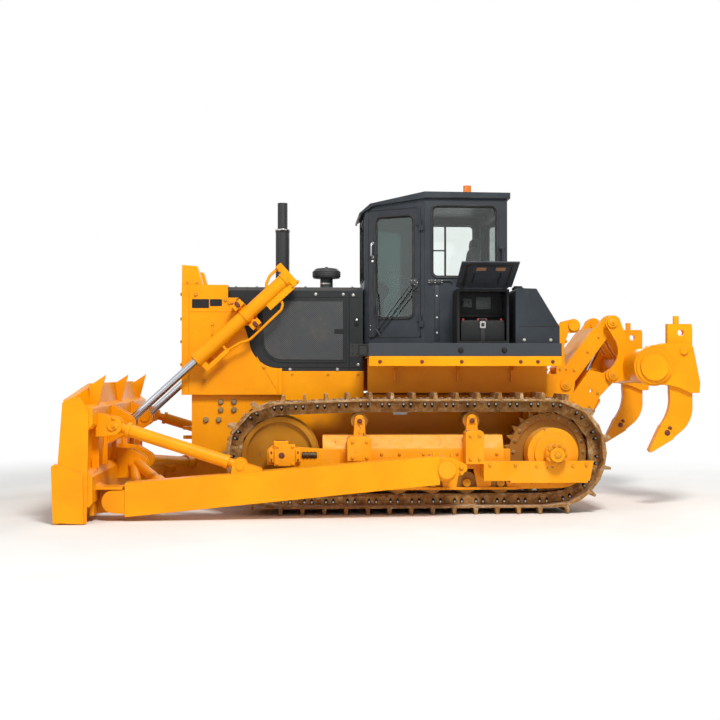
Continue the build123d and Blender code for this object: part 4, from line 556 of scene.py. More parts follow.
def plane(origin, u_way, v_way, out_way):
    """A function that maps u, v and a height over a flat face to a point."""
    origin, u_way, v_way, out_way = map(Vector, (origin, u_way, v_way, out_way))
    return lambda u, v, out=0.0: origin + u_way * u + v_way * v + out_way * out


def sunk(place, level):
    """The same face for a plate: its outside lies at level, and its depth goes inward."""
    return lambda u, v, depth: place(u, v, level - depth)


def middle_of(node):
    low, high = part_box(node)
    return (low + high) / 2


trees = {}


def touch(node, start, way):
    """Where a straight line from start first meets a CAD node."""
    if node not in trees:
        mesh = nodes[node].data
        corners = [vertex.co for vertex in mesh.vertices]
        trees[node] = BVHTree.FromPolygons(corners, [polygon.vertices for polygon in mesh.polygons])
    return trees[node].ray_cast(Vector(start), Vector(way).normalized())[0]


def welded(node):
    bm = bmesh.new()
    bm.from_mesh(nodes[node].data)
    bmesh.ops.remove_doubles(bm, verts=bm.verts, dist=WELD)
    bm.normal_update()
    return bm


def loose_middles(node):
    """The middle of each loose solid of a CAD node."""
    bm = welded(node)
    seen, middles = set(), []
    for start in bm.verts:
        if start in seen:
            continue
        members = [start]
        seen.add(start)
        for vertex in members:
            for edge in vertex.link_edges:
                other = edge.other_vert(vertex)
                if other not in seen:
                    seen.add(other)
                    members.append(other)
        spans = [[vertex.co[axis] for vertex in members] for axis in range(3)]
        middles.append(Vector([(min(span) + max(span)) / 2 for span in spans]))
    bm.free()
    return middles


def face_loop(node, direction):
    """The longest outline of a node's outermost flat face that looks along direction, in order."""
    bm = welded(node)
    direction = Vector(direction)
    facing = [face for face in bm.faces if face.normal.dot(direction) > 0.9999]
    level = {face: face.calc_center_median().dot(direction) for face in facing}
    furthest = max(level.values())
    flat = {face: None for face in facing if furthest - level[face] < 0.0005}
    neighbours = {}
    for edge in (edge for face in flat for edge in face.edges):
        if sum(face in flat for face in edge.link_faces) == 1:
            for vertex in edge.verts:
                neighbours.setdefault(vertex, []).append(edge.other_vert(vertex))
    loops, left = [], dict.fromkeys(neighbours)
    while left:
        loop = [next(iter(left))]
        while True:
            del left[loop[-1]]
            onward = [vertex for vertex in neighbours[loop[-1]] if vertex in left]
            if not onward:
                break
            loop.append(onward[0])
        loops.append([vertex.co.copy() for vertex in loop])
    bm.free()
    return max(loops, key=len)


# ---------------------------------------------------------------- stage, light and camera
bpy.ops.mesh.primitive_plane_add(size=400)
floor = bpy.context.object
floor.name = "floor"
ground = Shader("pale_floor")
ground_colour = ground.mix((0.80, 0.80, 0.79), (0.84, 0.84, 0.83), ground.patches((0.8, 5), 0.35, 0.65))
ground.finish(ground_colour, ground.patches((3,), 0.3, 0.7, 0.85, 0.95), Specular_IOR_Level=0.1)
away = ground.node("ShaderNodeVectorMath", {0: ground.place}, operation="LENGTH")
far_off = ground.band(away.outputs["Value"], 4.2, 8.5)
glow = ground.node("ShaderNodeEmission")
ground.blend(
    ground.times(ground.white_seen(), far_off), ground.principled.outputs["BSDF"], glow.outputs["Emission"],
    ground.surface,
)
floor.data.materials.append(ground.material)

world = bpy.data.worlds.new("studio")
world.use_nodes = True
bpy.context.scene.world = world
sky = Tree(world.node_tree)
light_sky = sky.tree.nodes["Background"]
sky.feed(light_sky.inputs["Color"], (0.94, 0.97, 1.0))
sky.feed(light_sky.inputs["Strength"], 0.42)
white_sky = sky.node("ShaderNodeBackground", {"Color": (1, 1, 1), "Strength": 1.0})
sky.blend(
    sky.white_seen(), light_sky.outputs["Background"], white_sky.outputs["Background"],
    sky.tree.nodes["World Output"].inputs["Surface"],
)


def softbox(name, place, target_z, size, watts, colour=(1, 1, 1)):
    """A rectangular lamp that looks at the machine's middle."""
    data = bpy.data.lights.new(name, "AREA")
    data.shape = "RECTANGLE"
    data.size, data.size_y = size
    data.energy = watts
    data.color = colour
    light = bpy.data.objects.new(name, data)
    light.location = place
    light.rotation_euler = (Vector((0, 0, target_z)) - Vector(place)).to_track_quat("-Z", "Y").to_euler()
    bpy.context.scene.collection.objects.link(light)


softbox("key_light", (1.5, -9.5, 10.5), 1.0, (3.0, 3.0), 1580, (1.0, 0.97, 0.92))
softbox("fill_light", (-9, -7, 4), 1.2, (6, 5), 150)
softbox("back_light", (6, 9, 7), 1.2, (6, 4), 500)

camera_data = bpy.data.cameras.new("camera")
camera = bpy.data.objects.new("camera", camera_data)
bpy.context.scene.collection.objects.link(camera)
camera_data.lens = 56.85
camera_data.sensor_width = 36
camera.location = (-0.911, -12.55, 1.426)
camera.rotation_euler = (radians(90.58), 0, radians(-2.99))
bpy.context.scene.camera = camera
bpy.context.scene.view_settings.view_transform = "Standard"


# ---------------------------------------------------------------- undercarriage fittings
LINK_FACE = 0.123        # outer face of a row of links, from the middle of the track
SHOE_TOP = 0.130         # outer face of a shoe above the rollers' path
COVER_FACE = 1.455       # outer faces of the final drive, from the machine's middle
HUB_FACE = 1.498
SPROCKET_FACE = 1.050
FLAT_SHIFT = 0.14        # from the flat's middle to the shoe's middle, in shoe lengths
NOTCH = ((-0.019, 0.022), (0.019, 0.022), (0.016, -0.006), (0.006, -0.026), (-0.006, -0.026), (-0.016, -0.006))
FRAME_BOLTS = (          # distance from the machine's middle, size, and x and z of each
    (1.380, 0.030, [(x, z) for x in (-0.400, -0.262) for z in (0.580, 0.735)]),
    (1.380, 0.030, [(x, z) for x in (0.765, 0.855) for z in (0.560, 0.790)]),
    (1.380, 0.030, ((0.960, 0.500), (1.213, 0.500), (1.425, 0.490), (1.790, 0.490), (1.925, 0.500))),
    (1.150, 0.028, [(x, 0.300) for x in (1.250, 1.420, 1.600, 1.780)]),
    (1.190, 0.028, [(x, 0.600) for x in (-0.620, -0.100, 0.080, 0.320, 0.660, 1.060)]),
)


def track_shoes(side_name, side):
    """Each shoe as the middle of its long flat, the way along the track, the way outward and its length."""
    loop = face_loop(f"track_{side_name}", (0, side, 0))
    count = len(loop)

    def length(index):
        return (loop[(index + 1) % count] - loop[index % count]).length

    shoes = []
    for index in range(count):
        beside = (length(index - 1), length(index + 1))
        if not (0.024 < length(index) < 0.028 and min(beside) > 0.060 and max(beside) < 0.070):
            continue
        flat = max(index + 2, index - 2, key=length)
        start, end = loop[flat % count], loop[(flat + 1) % count]
        middle, along = (start + end) / 2, (end - start).normalized()
        tip = (loop[index] + loop[(index + 1) % count]) / 2 - middle
        if along.dot(tip) < 0:
            along = -along
        out = (tip - along * tip.dot(along)).normalized()
        shoes.append((middle, along, out, (end - start).length / 0.6))
    return shoes


def bolt_circle(piece, centre, axis, radius, count, size, turn=0.0):
    """Bolts evenly round a circle, on a face that looks sideways or up."""
    across = Vector(REARWARD)
    third = Vector(axis).cross(across)
    for step in range(count):
        angle = turn + TURN * step / count
        piece.bolt(Vector(centre) + (across * cos(angle) + third * sin(angle)) * radius, axis, size)


for side_name, side in SIDES:
    outward = Vector((0, side, 0))
    on_side = plane((0, 0, 0), REARWARD, UP, outward)
    track_y = middle_of(f"track_{side_name}").y

    # shoes: bolts; links: their outer plates, pins, and notches with the nuts of the shoe bolts; the notches are
    # near-black insets, painted shade for the shade inside the links' windows
    with (
        Piece(f"shoe_bolts_{side_name}", "track") as bolts,
        Piece(f"link_plates_{side_name}", "link") as plates,
        Piece(f"link_pins_{side_name}", "link") as pins,
        Piece(f"link_windows_{side_name}", "link_hole_shade") as windows,
        Piece(f"link_nuts_{side_name}", "steel", slot="track_steel") as nuts,
    ):
        for middle, along, out, pitch in track_shoes(side_name, side):
            centre = Vector((middle.x, track_y, middle.z)) + along * FLAT_SHIFT * pitch
            for row in (-1, 1):
                across = Vector((0, row, 0))
                on_shoe = plane(centre, along, out, across)
                on_link = plane(on_shoe(0, -SHOE_TOP, LINK_FACE), along, out, across)
                for step in (-0.075, -0.002):
                    bolts.bolt(on_shoe(step, -0.001, 0.099), out, 0.034, 0.016, washer=False)
                plates.prism(round_box((0, 0.056), (pitch * 0.445, 0.048), 0.040), on_link, 0.008)
                boss = [(0, 0.037), (0.009, 0.037), (0.011, 0.033)]
                pins.lathe(on_link(pitch / 2, 0.050, -0.002), across, boss, 16)
                pins.lathe(on_link(pitch / 2, 0.050), across, [(0, 0.020), (0.012, 0.020), (0.014, 0.016)], 12)
                for step in (-0.036, 0.036):
                    on_notch = plane(on_link(step, 0.070), along, out, across)
                    # painted shade: a near-black inset where the link's window is
                    windows.prism(NOTCH, sunk(on_notch, 0.0092), 0.006)
                    nuts.bolt(on_notch(0, 0.010, 0.007), across, 0.024, 0.010, washer=False)

    # final drive: bolt circles on its stepped cover and the sprocket, and the plug of the hub
    axle = middle_of(f"final_drive_{side_name}")
    with (
        Piece(f"drive_bolts_{side_name}", "bolt") as cover_bolts,
        Piece(f"sprocket_bolts_{side_name}", "link") as sprocket_bolts,
    ):
        bolt_circle(cover_bolts, on_side(axle.x, axle.z, COVER_FACE), outward, 0.089, 10, 0.030)
        cover_bolts.bolt(on_side(axle.x, axle.z, HUB_FACE), outward, 0.060, 0.010)
        bolt_circle(sprocket_bolts, on_side(axle.x, axle.z, SPROCKET_FACE), outward, 0.360, 20, 0.032)

    # idler bearing: bolts of its block, the clips beside it with their slots, its cap and its rusty holes
    idler = middle_of(f"idler_{side_name}")
    on_idler = plane((idler.x, 0, idler.z), REARWARD, UP, outward)
    with (
        Piece(f"idler_bolts_{side_name}", "yellow") as block,
        Piece(f"idler_slots_{side_name}", "pin_rust") as dark,
        Piece(f"recoil_rod_{side_name}", "greasy") as rod,
    ):
        for dx, dz in ((-0.025, -0.080), (-0.025, 0.094), (0.130, -0.080), (0.130, 0.094)):
            block.bolt(on_idler(dx, dz, 1.277), outward, 0.026)
        for dx in (-0.080, 0.183):
            block.slab(on_idler(dx - 0.024, -0.064, 1.260), on_idler(dx + 0.024, 0.060, 1.274), 0.006)
            for dz in (-0.042, 0.032):
                dark.prism(round_box((dx, dz), (0.008, 0.016), 0.007), sunk(on_idler, 1.275), 0.008)
        block.slab(on_idler(-0.058, 0.110, 1.235), on_idler(0.090, 0.150, 1.274), 0.010)
        dark.lathe(on_idler(0.022, 0.004, 1.276), outward, [(0, 0.031), (0.003, 0.031), (0.004, 0.027)], 24)
        dark.slab(on_idler(-0.034, 0.145, 1.240), on_idler(0.066, 0.155, 1.270), 0.004)
        # greasy rod of the recoil spring, in its slot
        rod.lathe(on_idler(0.222, 0.004, 1.226), REARWARD, [(0, 0.030), (0.150, 0.030)], 24)
        coil = [(0, 0.028), (0.004, 0.035), (0.016, 0.035), (0.020, 0.028)]
        for step in range(4):
            rod.lathe(on_idler(0.232 + 0.036 * step, 0.004, 1.226), REARWARD, coil, 24)

    # rollers: end caps with plugs on the axles, and the pins of the carrier rollers, which are the upper ones
    with (
        Piece(f"roller_caps_{side_name}", "bolt") as caps,
        Piece(f"carrier_pins_{side_name}", "pin_rust") as carrier_pins,
    ):
        for centre in loose_middles(f"rollers_{side_name}"):
            on_roller = plane((centre.x, track_y, centre.z), REARWARD, UP, outward)
            if centre.z > 0.6:
                pin = [(0, 0.026), (0.007, 0.026), (0.010, 0.021)]
                carrier_pins.lathe(on_roller(0, 0, 0.1993), outward, pin)
                bolt_circle(caps, on_roller(0, 0, 0.1873), outward, 0.044, 4, 0.016, turn=pi / 4)
                continue
            for way in (-outward, outward):
                cap = on_roller(0, 0) + way * 0.165
                caps.lathe(cap, way, [(-0.002, 0.040), (0.010, 0.040), (0.014, 0.034)])
                caps.bolt(cap + way * 0.013, way, 0.026, washer=False)

    # track frame: bolts of the carrier posts, of the outer bar and of the rear guard
    with Piece(f"track_frame_bolts_{side_name}", "bolt") as frame_bolts:
        for out, size, places in FRAME_BOLTS:
            for x, z in places:
                frame_bolts.bolt(on_side(x, z, out), outward, size)


# ---------------------------------------------------------------- bolts seated on the solids
def from_side(side, x, z):
    """A line that comes in from the machine's side, as a start and a way."""
    return (x, side * 3, z), (0, -side, 0)


def from_sides(places):
    return [from_side(side, x, z) for _, side in SIDES for x, z in places]


def from_front(y_places, z_places):
    return [((-4, y, z), REARWARD) for y in y_places for z in z_places]


def from_rear(y_places, z_places):
    return [((4, y, z), FORWARD) for y in y_places for z in z_places]


def from_above(x_places, y_places):
    return [((x, y, 4), DOWN) for x in x_places for y in y_places]


def bolted(name, look, *groups, washer=True, height=None, slot=None):
    """A piece of bolts: each group is a node, a size, and the lines that meet the node at its bolts."""
    with Piece(name, look, body_of_node[groups[0][0]], slot) as piece:
        for node, size, lines in groups:
            for start, way in lines:
                piece.seated(node, start, way, size, washer, height)


PANEL_BOLTS = (
    (-0.751, 2.245), (-0.459, 2.246), (-0.353, 2.238), (-1.380, 1.891), (-1.400, 2.160), (-1.023, 1.448),
    (-0.521, 1.448), (-0.300, 1.500),
)
bolted("frame_bolts", "frame_bolt", ("main_frame", 0.052, from_sides((
    (-1.755, 1.104), (-1.616, 1.104), (-1.755, 1.020), (-1.616, 1.020), (-1.910, 0.915), (-1.776, 0.915),
))))
bolted("guard_bolts", "bolt", ("radiator_guard", 0.034, from_sides((
    (-1.849, 1.757), (-1.854, 1.546), (-1.295, 1.476), (-2.012, 2.235), (-1.933, 1.327), (-1.700, 2.180),
    (-1.660, 2.150), (-1.837, 1.924),
))))
bolted("panel_bolts", "steel", *(
    (f"side_panel_{side_name}", 0.026, [from_side(side, x, z) for x, z in PANEL_BOLTS])
    for side_name, side in SIDES
))
fender_bolts = [(x, 1.525) for x in (1.296, 1.469, 1.621, -0.120, 0.300, 0.700)]
bolted("fender_bolts", "pin_rust", ("fenders", 0.030, from_sides(fender_bolts)))
bolted("deck_bolts", "black", ("platform", 0.046, from_sides(((0.690, 1.640), (1.130, 1.640)))))
bolted("skirt_bolts", "bolt", ("main_frame", 0.026, from_sides([(x, 1.400) for x in (-1.000, -0.620, -0.300)])))
bolted(
    "guard_front_bolts", "bolt",
    ("radiator_guard", 0.034, from_front((-0.470, 0.470), (1.26, 1.50, 1.74, 1.98, 2.24))),
    ("radiator_guard", 0.030, from_front((-0.25, 0, 0.25), (1.245, 2.28))),
)
bolted("hood_bolts", "steel", ("hood", 0.026, from_above((-1.60, -1.38, -0.86, -0.36), (-0.36, 0.36))))
bolted("roof_bolts", "black", ("cab_roof", 0.028, from_above((0.55, 0.83, 1.11), (-0.74, 0.74))), height=0.008)
bolted(
    "tank_bolts", "steel",
    ("fuel_tank", 0.026, from_sides(((1.35, 1.745), (1.62, 1.745)))),
    ("fuel_tank", 0.026, from_rear((-1.02, -0.60, -0.20, 0.20, 0.60, 1.02), (1.745,))),
    ("hydraulic_tank", 0.026, [from_side(1, x, 1.745) for x in (0.60, 0.85, 1.10)]),
)
edge_bolts = from_front([-1.62 + 0.18 * n for n in range(19)], (0.085, 0.165))
bolted("blade_edge_bolts", "worn_edge", ("blade", 0.040, edge_bolts), washer=False, height=0.012)
for node, places in (
    ("ripper_arm", ((2.080, 0.900), (2.200, 1.050), (2.290, 1.190))),
    ("ripper_links", ((2.050, 1.440), (2.200, 1.640), (2.320, 1.800))),
    ("ripper_mount", ((1.870, 0.850), (1.870, 1.100), (1.870, 1.450), (1.870, 1.600))),
):
    bolted(f"{node}_bolts", "bolt", (node, 0.026, from_sides(places)))
mount_bolts = from_rear((-0.465, 0.465), (0.80, 0.95, 1.10, 1.45, 1.60, 1.75))
bolted("ripper_mount_rear_bolts", "bolt", ("ripper_mount", 0.032, mount_bolts))
case_bolts = from_rear((-0.36, -0.18, 0, 0.18, 0.36), (0.66, 1.02, 1.34))
bolted("rear_case_bolts", "bolt", ("rear_case", 0.030, case_bolts))

# ---------------------------------------------------------------- engine sides, radiator guard, lamps and steps
CURVE = [pi / 16 * n for n in range(9)]
PANEL_SHEET = [
    (-0.461, 2.172), (-1.322, 2.172), *((-1.300 + 0.195 * (1 - cos(a)), 1.752 - 0.200 * sin(a)) for a in CURVE),
    (-0.461, 1.548),
]
GUARD_FOLDS = (          # x and z of both ends
    ((-2.085, 1.20), (-2.085, 2.30)), ((-2.085, 2.058), (-1.600, 2.058)), ((-1.374, 1.582), (-1.140, 1.200)),
    ((-1.150, 1.46), (-1.150, 1.200)),
)
GUARD_PLATES = (((-1.963, 2.141), (0.089, 0.047)), ((-1.801, 2.1515), (0.063, 0.0365)))      # middle and half size
STEP_LAMP = (-0.289, 1.640)
STEP_SIDE = 1.240        # outer face of the step, from the machine's middle
LAMP = (-2.146, 0.400, 2.4545)

for side_name, side in SIDES:
    outward = (0, side, 0)
    on_panel = plane((0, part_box(f"side_panel_{side_name}")[side > 0].y, 0), REARWARD, UP, outward)
    on_guard = plane((0, touch("radiator_guard", *from_side(side, -1.9, 1.6)).y, 0), REARWARD, UP, outward)
    on_step = plane((0, side * STEP_SIDE, 0), REARWARD, UP, outward)

    # side panel: a punched sheet, rims, a latch with its lock, and a small bare plate
    with Piece(f"punched_sheet_{side_name}", "perforated") as sheet:
        sheet.prism(PANEL_SHEET, sunk(on_panel, 0.0025), 0.0024)
    with Piece(f"panel_rims_{side_name}", "panel") as rim:
        rim.tube([on_panel(x, z, 0.001) for x, z in PANEL_SHEET], 0.004, 6, closed=True)
        for start, end in (
            ((-1.20, 2.215), (-0.30, 2.215)), ((-1.20, 1.475), (-0.30, 1.475)), ((-0.395, 2.26), (-0.395, 1.445)),
        ):
            rim.tube([on_panel(*start, -0.006), on_panel(*end, -0.006)], 0.004, 6)
    with Piece(f"panel_latch_{side_name}", "black") as latch:
        latch.prism(round_box((-0.317, 1.955), (0.024, 0.036), 0.010), sunk(on_panel, 0.002), 0.012)
        latch.slab(on_panel(-0.323, 1.915), on_panel(-0.311, 1.962, 0.012), 0.003)
    with Piece(f"panel_lock_{side_name}", "chrome", slot="charcoal") as lock:
        lock.lathe(on_panel(-0.317, 1.972), outward, [(0, 0.013), (0.012, 0.013), (0.014, 0.009)], 16)
    with Piece(f"panel_plate_{side_name}", "black") as plate:
        plate.prism(round_box((-0.503, 1.852), (0.052, 0.024), 0.005), sunk(on_panel, 0.0045), 0.003)

    # radiator guard: folds, a handle, and on the left two bare plates with their rivets
    with Piece(f"guard_folds_{side_name}", "yellow") as folds:
        for start, end in GUARD_FOLDS:
            folds.tube([on_guard(*start), on_guard(*end)], 0.005, 6)
        folds.slab(on_guard(-1.850, 1.804, -0.001), on_guard(-1.832, 1.904, 0.010), 0.003)
    if side < 0:
        with Piece("guard_plates", "black") as bare:
            for middle, half in GUARD_PLATES:
                bare.prism(round_box(middle, half, 0.008), sunk(on_guard, 0.003), 0.004)
                for x in (middle[0] - half[0] + 0.010, middle[0] + half[0] - 0.010):
                    rivet = [(0, 0.004), (0.0025, 0.004), (0.0035, 0.002)]
                    bare.lathe(on_guard(x, middle[1], 0.002), outward, rivet, 8)

    # headlamps: rim, ribbed lens, and the bolts of their housings
    lamp = Vector((LAMP[0], side * LAMP[1], LAMP[2]))
    with Piece(f"lamp_rim_{side_name}", "steel", slot="chrome_rod") as rim:
        on_lamp = plane(lamp, (0, 1, 0), UP, REARWARD)
        rim.border(circle((0, 0), 0.073), circle((0, 0), 0.061), sunk(on_lamp, 0.001), 0.010)
    with Piece(f"lamp_lens_{side_name}", "lamp_glass") as lens:
        dome = [(-0.001, 0.0615), (0.003, 0.060), (0.007, 0.050), (0.0095, 0.030), (0.0105, 0.010)]
        lens.lathe(lamp, FORWARD, dome, 32)
    lamp_bolts = [from_side(side, x, 2.365) for x in (-2.10, -2.00)]
    bolted(f"lamp_bolts_{side_name}", "bolt", ("front_lamps", 0.022, lamp_bolts))

    # lamp in the black step, its frame and the step's screws
    with Piece(f"step_lamp_frame_{side_name}", "black") as step:
        step.border(
            round_box(STEP_LAMP, (0.050, 0.056), 0.016), round_box(STEP_LAMP, (0.036, 0.043), 0.012),
            sunk(on_step, 0.003), 0.008,
        )
        for dx in (-0.042, 0.042):
            for dz in (-0.048, 0.048):
                screw = on_step(STEP_LAMP[0] + dx, STEP_LAMP[1] + dz, 0.002)
                step.lathe(screw, outward, [(0, 0.005), (0.003, 0.004)], 8)
        for x, z in ((-0.395, 1.605), (-0.395, 1.680), (-0.350, 1.600)):
            step.lathe(on_step(x, z), outward, [(-0.001, 0.008), (0.004, 0.008), (0.006, 0.005)], 10)
    with Piece(f"step_lamp_lens_{side_name}", "dark_lens") as lens:
        lens.prism(round_box(STEP_LAMP, (0.035, 0.042), 0.012), sunk(on_step, -0.012), 0.010)

# a bare plate on the main frame under the deck
on_frame = plane((0, touch("main_frame", *from_side(-1, 0.15, 1.02)).y, 0), REARWARD, UP, (0, -1, 0))
with Piece("frame_plate", "pale_plate") as plate:
    plate.prism(round_box((0.15, 1.02), (0.075, 0.055), 0.006), sunk(on_frame, 0.003), 0.004)

# hood: raised joints across it
hood_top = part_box("hood")[1].z
with Piece("hood_joints", "black") as joints:
    for x in (-1.48, -0.92, -0.34):
        path = ((-0.470, -0.048), (-0.410, 0), (0.410, 0), (0.470, -0.048))
        joints.tube([(x, y, hood_top + dz) for y, dz in path], 0.004, 6)

# exhaust: clamps and the bare ring at the top of its jacket; air cleaner: ribs and its clamp
stack_x = middle_of("exhaust_stack").x
with Piece("exhaust_clamps", "steel", slot="exhaust_steel") as clamps:
    for z, radius in ((2.982, 0.079), (2.436, 0.075)):
        wide, narrow = radius + 0.003, radius + 0.001
        band = [(0, narrow), (0.001, wide), (0.013, wide), (0.014, narrow)]
        clamps.lathe((stack_x, 0, z - 0.007), UP, band, 36)
        clamps.slab((stack_x - 0.020, -radius - 0.022, z - 0.007), (stack_x + 0.020, -radius, z + 0.007), 0.002)
        clamps.bolt((stack_x + 0.019, -radius - 0.012, z), REARWARD, 0.012, washer=False)
    bolt_circle(clamps, (stack_x, 0, hood_top + 0.024), UP, 0.080, 6, 0.018)

cleaner = middle_of("air_cleaner")
with Piece("air_cleaner_ribs", "plastic", slot="exhaust_steel") as ribs:
    for z, radius in ((2.478, 0.1535), (2.500, 0.1535), (2.522, 0.1535), (2.546, 0.128), (2.557, 0.108)):
        ribs.tube([(x, y, z) for x, y in circle(cleaner.xy, radius, 40)], 0.0045, 6, closed=True)
    ribs.lathe((*cleaner.xy, 2.565), UP, [(0, 0.022), (0.006, 0.022), (0.016, 0.012)], 16)
with Piece("air_cleaner_clamp", "steel", slot="exhaust_steel") as neck:
    neck.lathe((*cleaner.xy, 2.385), UP, [(0, 0.0705), (0.001, 0.073), (0.015, 0.073), (0.016, 0.0705)], 30)
    neck.bolt((cleaner.x + 0.01, cleaner.y - 0.080, 2.393), REARWARD, 0.014, washer=False)

# tanks: grips round the filler caps with a bar across, and side seams
with Piece("filler_cap_grips", "black") as caps:
    for x, y, z, radius in ((1.080, 0.980, 2.345, 0.0515), (1.370, -0.700, 2.309, 0.0575)):
        for grip in circle((x, y), radius, 24):
            caps.lathe((*grip, z - 0.030), UP, [(0, 0.0045), (0.026, 0.0045)], 6)
        caps.slab((x - 0.045, y - 0.008, z), (x + 0.045, y + 0.008, z + 0.016), 0.004)
tank_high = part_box("fuel_tank")[1]
with Piece("tank_seams", "black") as seams:
    for y in (-tank_high.y, tank_high.y):
        seams.tube([(x, y, 1.885) for x in (1.300, 1.706)], 0.0035, 6)
    seams.tube([(tank_high.x - 0.001, y, 1.872) for y in (-1.14, 1.14)], 0.0035, 6)

# ---------------------------------------------------------------- cab
CAB_SIDE = 0.800                        # outer face of the side walls
CAB_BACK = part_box("cab_frame")[1].x
CORNER = (-0.230, 0.430)                # x and |y| where the slanting front corner starts
CORNER_WAY = (0.85309, 0.52176)         # its direction rearwards, in x and |y|
SIDE_WINDOW = ((0.451, 1.132), (2.407, 3.150))
DOOR_WINDOW = ((0.131, 0.5782), (1.985, 3.060))
FRONT_WINDOW = ((-0.340, 0.340), (2.420, 3.060))
REAR_WINDOW = ((-0.600, 0.600), (2.330, 3.120))
PANE_CORNER = 0.062
SMALL_SCREW = [(0, 0.0065), (0.004, 0.0065), (0.006, 0.004)]


def gasket(name, window, place, body):
    """A rubber seal round a pane: a wide lip on the wall and a bead next to the glass."""
    middle = [(low + high) / 2 for low, high in window]
    with Piece(name, "rubber", body) as seal:
        for margin, out, radius in ((0.004, 0.001, 0.011), (-0.012, -0.014, 0.007)):
            half = [(high - low) / 2 + margin for low, high in window]
            line = round_box(middle, half, PANE_CORNER + min(margin, 0), 7)
            seal.tube([place(u, v, out) for u, v in line], radius, 8, closed=True)


for side_name, side in SIDES:
    door = f"door_{side_name}"
    sideways = Vector((0, side, 0))
    outward = Vector((-CORNER_WAY[1], side * CORNER_WAY[0], 0))
    rearward = Vector((CORNER_WAY[0], side * CORNER_WAY[1], 0))
    on_door = plane((CORNER[0], side * CORNER[1], 0), rearward, UP, outward)
    on_wall = plane(sideways * CAB_SIDE, REARWARD, UP, sideways)
    gasket(f"door_gasket_{side_name}", DOOR_WINDOW, on_door, door)
    gasket(f"side_gasket_{side_name}", SIDE_WINDOW, on_wall, "chassis")

    # sliding pane: its two bars in the right side window
    if side > 0:
        with Piece(f"sliding_pane_{side_name}", "rubber") as bars:
            for middle, half in (((0.790, 2.7785), (0.012, 0.360)), ((0.625, 2.850), (0.165, 0.008))):
                bars.prism(round_box(middle, half, 0.004), sunk(on_wall, -0.024), 0.012)

    # door: seal round its edge, chrome pull handle and lock
    with Piece(f"door_seal_{side_name}", "rubber", door) as edge:
        line = round_box((0.3546, 2.459), (0.3035, 0.6735), 0.022)
        edge.tube([on_door(u, v, -0.001) for u, v in line], 0.004, 6, closed=True)
    with Piece(f"door_handle_{side_name}", "chrome", door, "chrome_rod") as handle:
        grip = [(2.790, -0.002), (2.790, 0.026), (2.780, 0.036), (2.655, 0.036), (2.645, 0.026), (2.645, -0.002)]
        handle.tube([on_door(0.100, v, out) for v, out in grip], 0.0085)
        for v in (2.790, 2.645):
            handle.lathe(on_door(0.100, v, -0.001), outward, [(0, 0.016), (0.005, 0.016), (0.007, 0.012)], 16)
        handle.lathe(on_door(0.100, 2.600, -0.001), outward, [(0, 0.015), (0.006, 0.015), (0.010, 0.011)], 16)

    # wiper: motor at the hinge side, two parallel arms and the blade they carry
    pivot, tip = (0.585, 2.352), (0.160, 1.860)
    with Piece(f"wiper_{side_name}", "plastic", door) as wiper:
        motor = [(0, 0.034), (0.014, 0.034), (0.020, 0.024), (0.034, 0.022)]
        wiper.lathe(on_door(*pivot, -0.001), outward, motor)
        wiper.prism(round_box((0.596, 2.356), (0.044, 0.040), 0.010), sunk(on_door, 0.012), 0.014)
        for u, v in ((0.625, 2.385), (0.625, 2.318), (0.632, 2.268)):
            wiper.lathe(on_door(u, v, -0.001), outward, [(0, 0.011), (0.009, 0.011), (0.012, 0.008)], 12)
        for radius, path in (
            (0.0055, ((*pivot, 0.030), (0.565, 2.332, 0.036), (*tip, 0.028))),
            (0.0055, ((0.620, 2.310, 0.010), (0.600, 2.285, 0.030), (0.185, 1.825, 0.028))),
            (0.009, ((0.150, 1.875, 0.026), (0.200, 1.810, 0.026))),
            (0.007, ((0.172, 1.845, 0.024), (0.130, 1.800, 0.020), (0.075, 1.790, 0.016))),
            (0.0065, ((0.145, 2.260, 0.016), (0.172, 1.848, 0.020))),
        ):
            wiper.tube([on_door(*point) for point in path], radius, 8)
    with Piece(f"wiper_screws_{side_name}", "steel", door, "black_plastic") as studs:
        for height, top, places in (
            (0.018, 0.021, ((0.602, 2.375), (0.565, 2.375), (0.602, 2.332), (0.632, 2.352))),
            (0.005, 0.007, ((0.075, 1.915), (0.075, 1.870))),
        ):
            for u, v in places:
                studs.lathe(on_door(u, v), outward, [(0, 0.0065), (height, 0.0065), (top, 0.004)], 8)

    # bracket and door stay on the side wall behind the door post, and the screwed trim under it
    with Piece(f"door_stay_{side_name}", "plastic") as bracket:
        bracket.slab(on_wall(0.410, 2.340, -0.002), on_wall(0.560, 2.380, 0.014), 0.003)
        for u in (0.445, 0.520):
            bracket.lathe(on_wall(u, 2.360, 0.012), sideways, [(0, 0.024), (0.010, 0.024), (0.014, 0.018)], 16)
        stay = ((0.560, 2.372, 0.012), (0.640, 2.372, 0.018), (0.665, 2.350, 0.018))
        bracket.tube([on_wall(*point) for point in stay], 0.007, 8)
    with Piece(f"side_screws_{side_name}", "steel", slot="black_plastic") as screws:
        for u, rise in ((0.420, 0.010), (0.482, 0.012), (0.552, 0.010)):
            for v in (2.360 + rise, 2.360 - rise):
                screws.lathe(on_wall(u, v, 0.013), sideways, SMALL_SCREW, 8)
        for v in (2.210, 1.986, 1.828):
            screws.lathe(on_wall(0.503, v, 0.007), sideways, [(0, 0.012), (0.005, 0.012), (0.008, 0.008)], 12)
    with Piece(f"side_trim_{side_name}", "charcoal") as trim:
        trim.slab(on_wall(0.478, 1.745, -0.001), on_wall(0.530, 2.325, 0.008), 0.002)

    # grab rail feet
    with Piece(f"grab_rail_feet_{side_name}", "black") as feet:
        for v in (2.440, 2.700):
            feet.lathe(on_wall(1.185, v, -0.001), sideways, [(0, 0.032), (0.006, 0.032), (0.008, 0.028)])
            for u in (1.162, 1.208):
                feet.lathe(on_wall(u, v, 0.005), sideways, [(0, 0.006), (0.006, 0.006), (0.007, 0.004)], 6)

